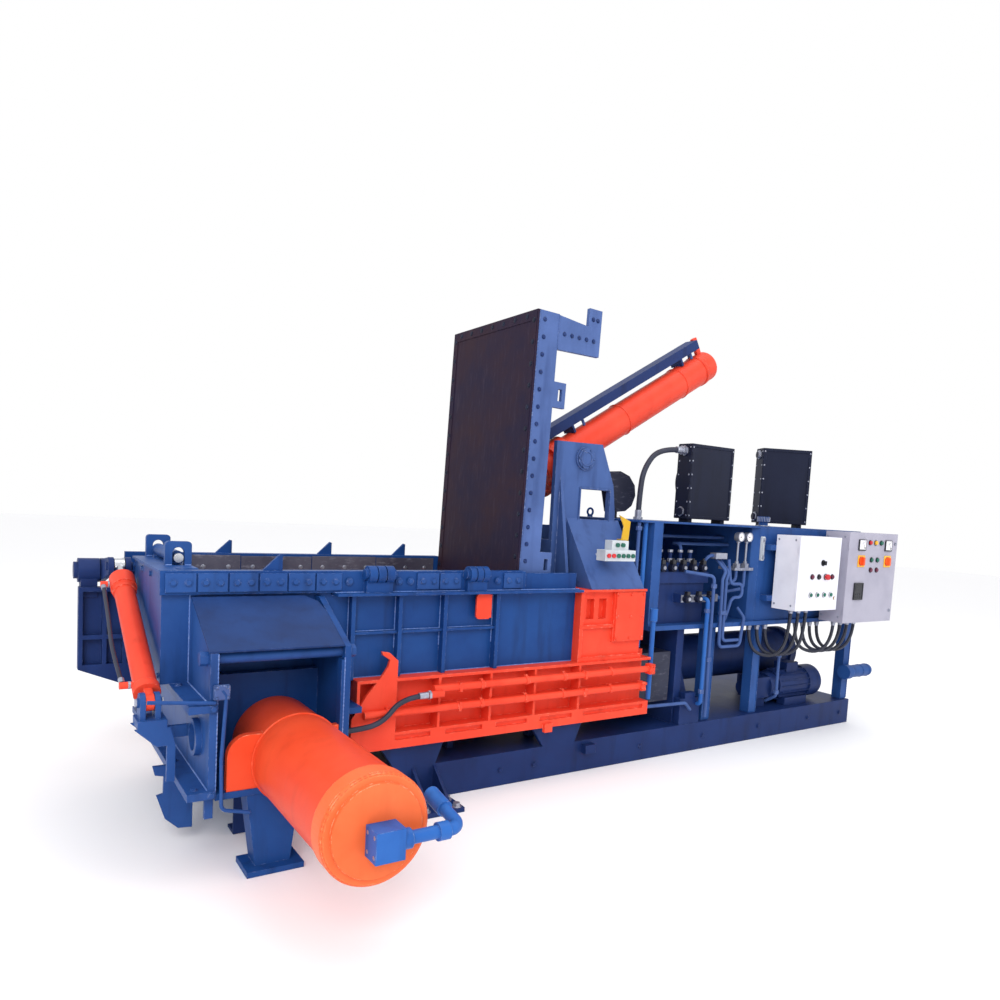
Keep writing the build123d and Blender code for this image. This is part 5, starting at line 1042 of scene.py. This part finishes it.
growLines("powerPipes", "pipes", towerBlue, [
    [(0.222, -0.47, 1.558), (0.222, -0.47, 1.2), (0.414, -0.4, 1.2)],
    [(0.558, -0.34, 1.38), (0.558, -0.34, 1.47), (0.558, -0.2, 1.47), (1.0, -0.2, 1.47), (1.35, -0.2, 1.47)],
    [(0.754, -0.34, 1.38), (0.754, -0.34, 1.42), (0.754, -0.25, 1.42), (1.0, -0.25, 1.42),
     (1.35, -0.25, 1.42)],
    [(0.88, -0.44, 1.3), (0.9, -0.47, 1.352), (0.945, -0.47, 1.352)],
    [(0.64, -0.505, 1.244), (0.866, -0.562, 1.216), (0.869, -0.562, 0.62), (0.882, -0.556, 0.234)],
    [(0.998, -0.45, 1.33), (0.998, -0.545, 1.25), (0.97, -0.545, 1.19), (0.984, -0.545, 0.717),
     (1.2, -0.545, 0.717), (1.228, -0.545, 0.918), (1.228, -0.48, 0.98)],
    [(1.03, -0.45, 1.33), (1.03, -0.545, 1.24), (1.01, -0.545, 1.188), (1.014, -0.545, 0.76),
     (1.18, -0.545, 0.76)],
    [(1.048, -0.52, 1.33), (1.056, -0.545, 1.16), (1.178, -0.545, 1.16), (1.187, -0.545, 1.065),
     (1.08, -0.545, 1.065), (1.076, -0.5, 0.9)],
    [(1.185, -0.478, 1.268), (1.185, -0.478, 1.18), (1.09, -0.478, 1.15)],
    [(1.275, -0.478, 1.268), (1.275, -0.478, 1.12), (1.1, -0.478, 1.1)],
    [(0.273, -0.56, 0.364), (0.673, -0.56, 0.353), (0.729, -0.556, 0.3)],
    [(1.7, -0.52, 0.64), (1.702, -0.52, 0.3), (1.702, -0.43, 0.24)],
], 0.0115, 0.036)
unions = bmesh.new()
for x, y, z in ((0.869, -0.562, 0.64), (0.869, -0.562, 1.15), (0.984, -0.545, 0.96), (1.0125, -0.545, 0.96),
                (1.7, -0.52, 0.61), (1.702, -0.52, 0.33), (0.222, -0.47, 1.52), (0.82, -0.562, 0.98),
                (0.82, -0.562, 0.42)):
    addNut(unions, (x, y, z - 0.014), (x, y, z + 0.014), 0.036)
makePiece("pipeUnions", lidBlue, unions, 0.001)

# pump, motor and main cylinder
rows = [(up, [(x, y, 0.513) for x in (1.972, 2.088) for y in (-0.4, -0.304)])]
growBolts("motorScrews", navyBlue, rows, 0.012, 0.004)
cowl = bmesh.new()
for k in range(6):
    addRing(cowl, (2.331, -0.352, 0.343), right, 0.02 + 0.018 * k, 0.0022, 36, 6)
makePiece("motorCowlRings", coolerBlack, cowl, 0, True)
growBolts("mainFlangeBolts", navyBlue, [(right, circlePoints((2.38, 0, 0.53), right, 0.12, 12))], 0.03, 0.014)

# base frame and power frame: anchors, beam bolts and weld beads
rows = [(up, [(x, y, 0.025) for x in (-1.392, -1.208) for y in (-0.745, -0.64)])]
growBolts("footAnchors", zincSteel, rows, 0.036, 0.02)
rows = [(near, [(x, -0.536, 0.094) for x in (-2.1, -1.86, -0.8, -0.56, 0.3, 0.9, 1.5, 2.1, 2.52)])]
rows.append((far, [(x, 0.536, 0.094) for x in (-2.1, -1.5, -0.9, -0.3, 0.3, 0.9, 1.5, 2.1, 2.52)]))
growBolts("beamBolts", navyBlue, rows, 0.024, 0.01)
seams = [[(0.33 + k, -0.5005, 0.854), (0.7 + k, -0.5005, 0.854)] for k in (0, 0.45, 0.95, 1.45, 1.9)]
seams.append([(0.408, -0.4985, 0.9), (0.408, -0.4985, 1.545)])
seams += [[(x + dx, -0.501, 0.2), (x + dx, -0.501, 0.85)]
          for x in (0.91, 1.418, 2.572) for dx in (0.0, 0.078)]
growLines("powerSeams", "seams", machineBlue, seams, 0.0032, 0.01)

# filler cap ribs, filter bands and lifting eyes
ribs = bmesh.new()
for a in turns(24):
    x, y = 1.66 + 0.0462 * math.cos(a), -0.31 + 0.0462 * math.sin(a)
    addRod(ribs, (x, y, 1.608), (x, y, 1.642), 0.0026, 6)
addCollar(ribs, (1.66, -0.31, 1.573), (1.66, -0.31, 1.58), 0.05, 0.035, 30)
makePiece("fillerCapRibs", zincSteel, ribs)
bands = bmesh.new()
for x in (2.566, 2.7, 2.79):
    addRing(bands, (x, -0.558, 0.432), right, 0.0505, 0.0025, 40, 6)
makePiece("filterBands", machineBlue, bands, 0, True)
eyes = bmesh.new()
for x in (0.52, 2.52):
    addRing(eyes, (x, 0.38, 1.61), far, 0.026, 0.008, 28, 10)
    addRod(eyes, (x, 0.38, 1.5725), (x, 0.38, 1.584), 0.02, 24)
makePiece("liftingEyes", machineBlue, eyes, 0, True)

# pendant station: button caps and its yellow bracket
pendant = {"face": -0.6385, "row": 1.351, "first": -0.166, "step": 0.039}
green, red = bmesh.new(), bmesh.new()
for k in range(6):
    x = pendant["first"] + pendant["step"] * k
    addRod(green if k > 1 else red, (x, pendant["face"] + 0.006, pendant["row"]),
           (x, pendant["face"] - 0.004, pendant["row"]), 0.0132, 20)
for x in (-0.08, -0.036):
    addRod(green, (x, -0.605, 1.415), (x, -0.62, 1.415), 0.0132, 20)
makePiece("pendantGreenCaps", greenPlastic, green)
makePiece("pendantRedCaps", redPlastic, red)
bracket = bmesh.new()
addPlate(bracket, [(-0.032, -0.556, 1.598), (0.066, -0.556, 1.56), (0.056, -0.556, 1.44),
                   (-0.004, -0.556, 1.44), (0.01, -0.556, 1.53)], (0, 0.006, 0))
addBox(bracket, (-0.01, -0.557, 1.4425), (0.052, -0.52, 1.45))
makePiece("pendantBracket", yellowPaint, bracket, 0.001)
rows = [(left, [(-2.631, y, z) for y in (-0.49, -0.245, 0.0, 0.22) for z in (0.775, 1.205)])]
growBolts("endBoxBolts", machineBlue, rows, 0.022, 0.009)
print("details made")

floorMesh = bmesh.new()
addBox(floorMesh, (-30, -30, -0.02), (30, 40, -0.0005))
floorData = bpy.data.meshes.new("floor")
floorMesh.to_mesh(floorData)
floorMesh.free()
floorPaint, _, _, floorShader = startMaterial("paleFloor")
floorShader.inputs["Base Color"].default_value = linear("#fbfbfd")
floorShader.inputs["Roughness"].default_value = 0.75
floorData.materials.append(floorPaint)
floor = bpy.data.objects.new("floor", floorData)
bpy.context.collection.objects.link(floor)


def addLamp(name, place, target, size, power, colour="#ffffff"):
    data = bpy.data.lights.new(name, "AREA")
    data.shape = "DISK"
    data.size = size
    data.energy = power
    data.color = linear(colour)[:3]
    lamp = bpy.data.objects.new(name, data)
    back = Vector(place) - Vector(target)
    lamp.matrix_world = Matrix.Translation(place) @ back.to_track_quat("Z", "Y").to_matrix().to_4x4()
    bpy.context.collection.objects.link(lamp)


addLamp("keyLight", (-6.0, -7.0, 6.0), (-0.5, 0, 0.8), 5.0, 400)
addLamp("topLight", (0.5, -1.0, 7.5), (0, 0, 0.5), 6.0, 130)
addLamp("rimLight", (5.5, -5.0, 4.5), (1.0, 0, 0.8), 4.0, 60)
world = bpy.data.worlds.new("paleStudio")
world.use_nodes = True
world.node_tree.nodes["Background"].inputs[0].default_value = linear("#ffffff")
world.node_tree.nodes["Background"].inputs[1].default_value = 1.0
bpy.context.scene.world = world
bpy.context.scene.view_settings.view_transform = "Standard"
print("stage ready")
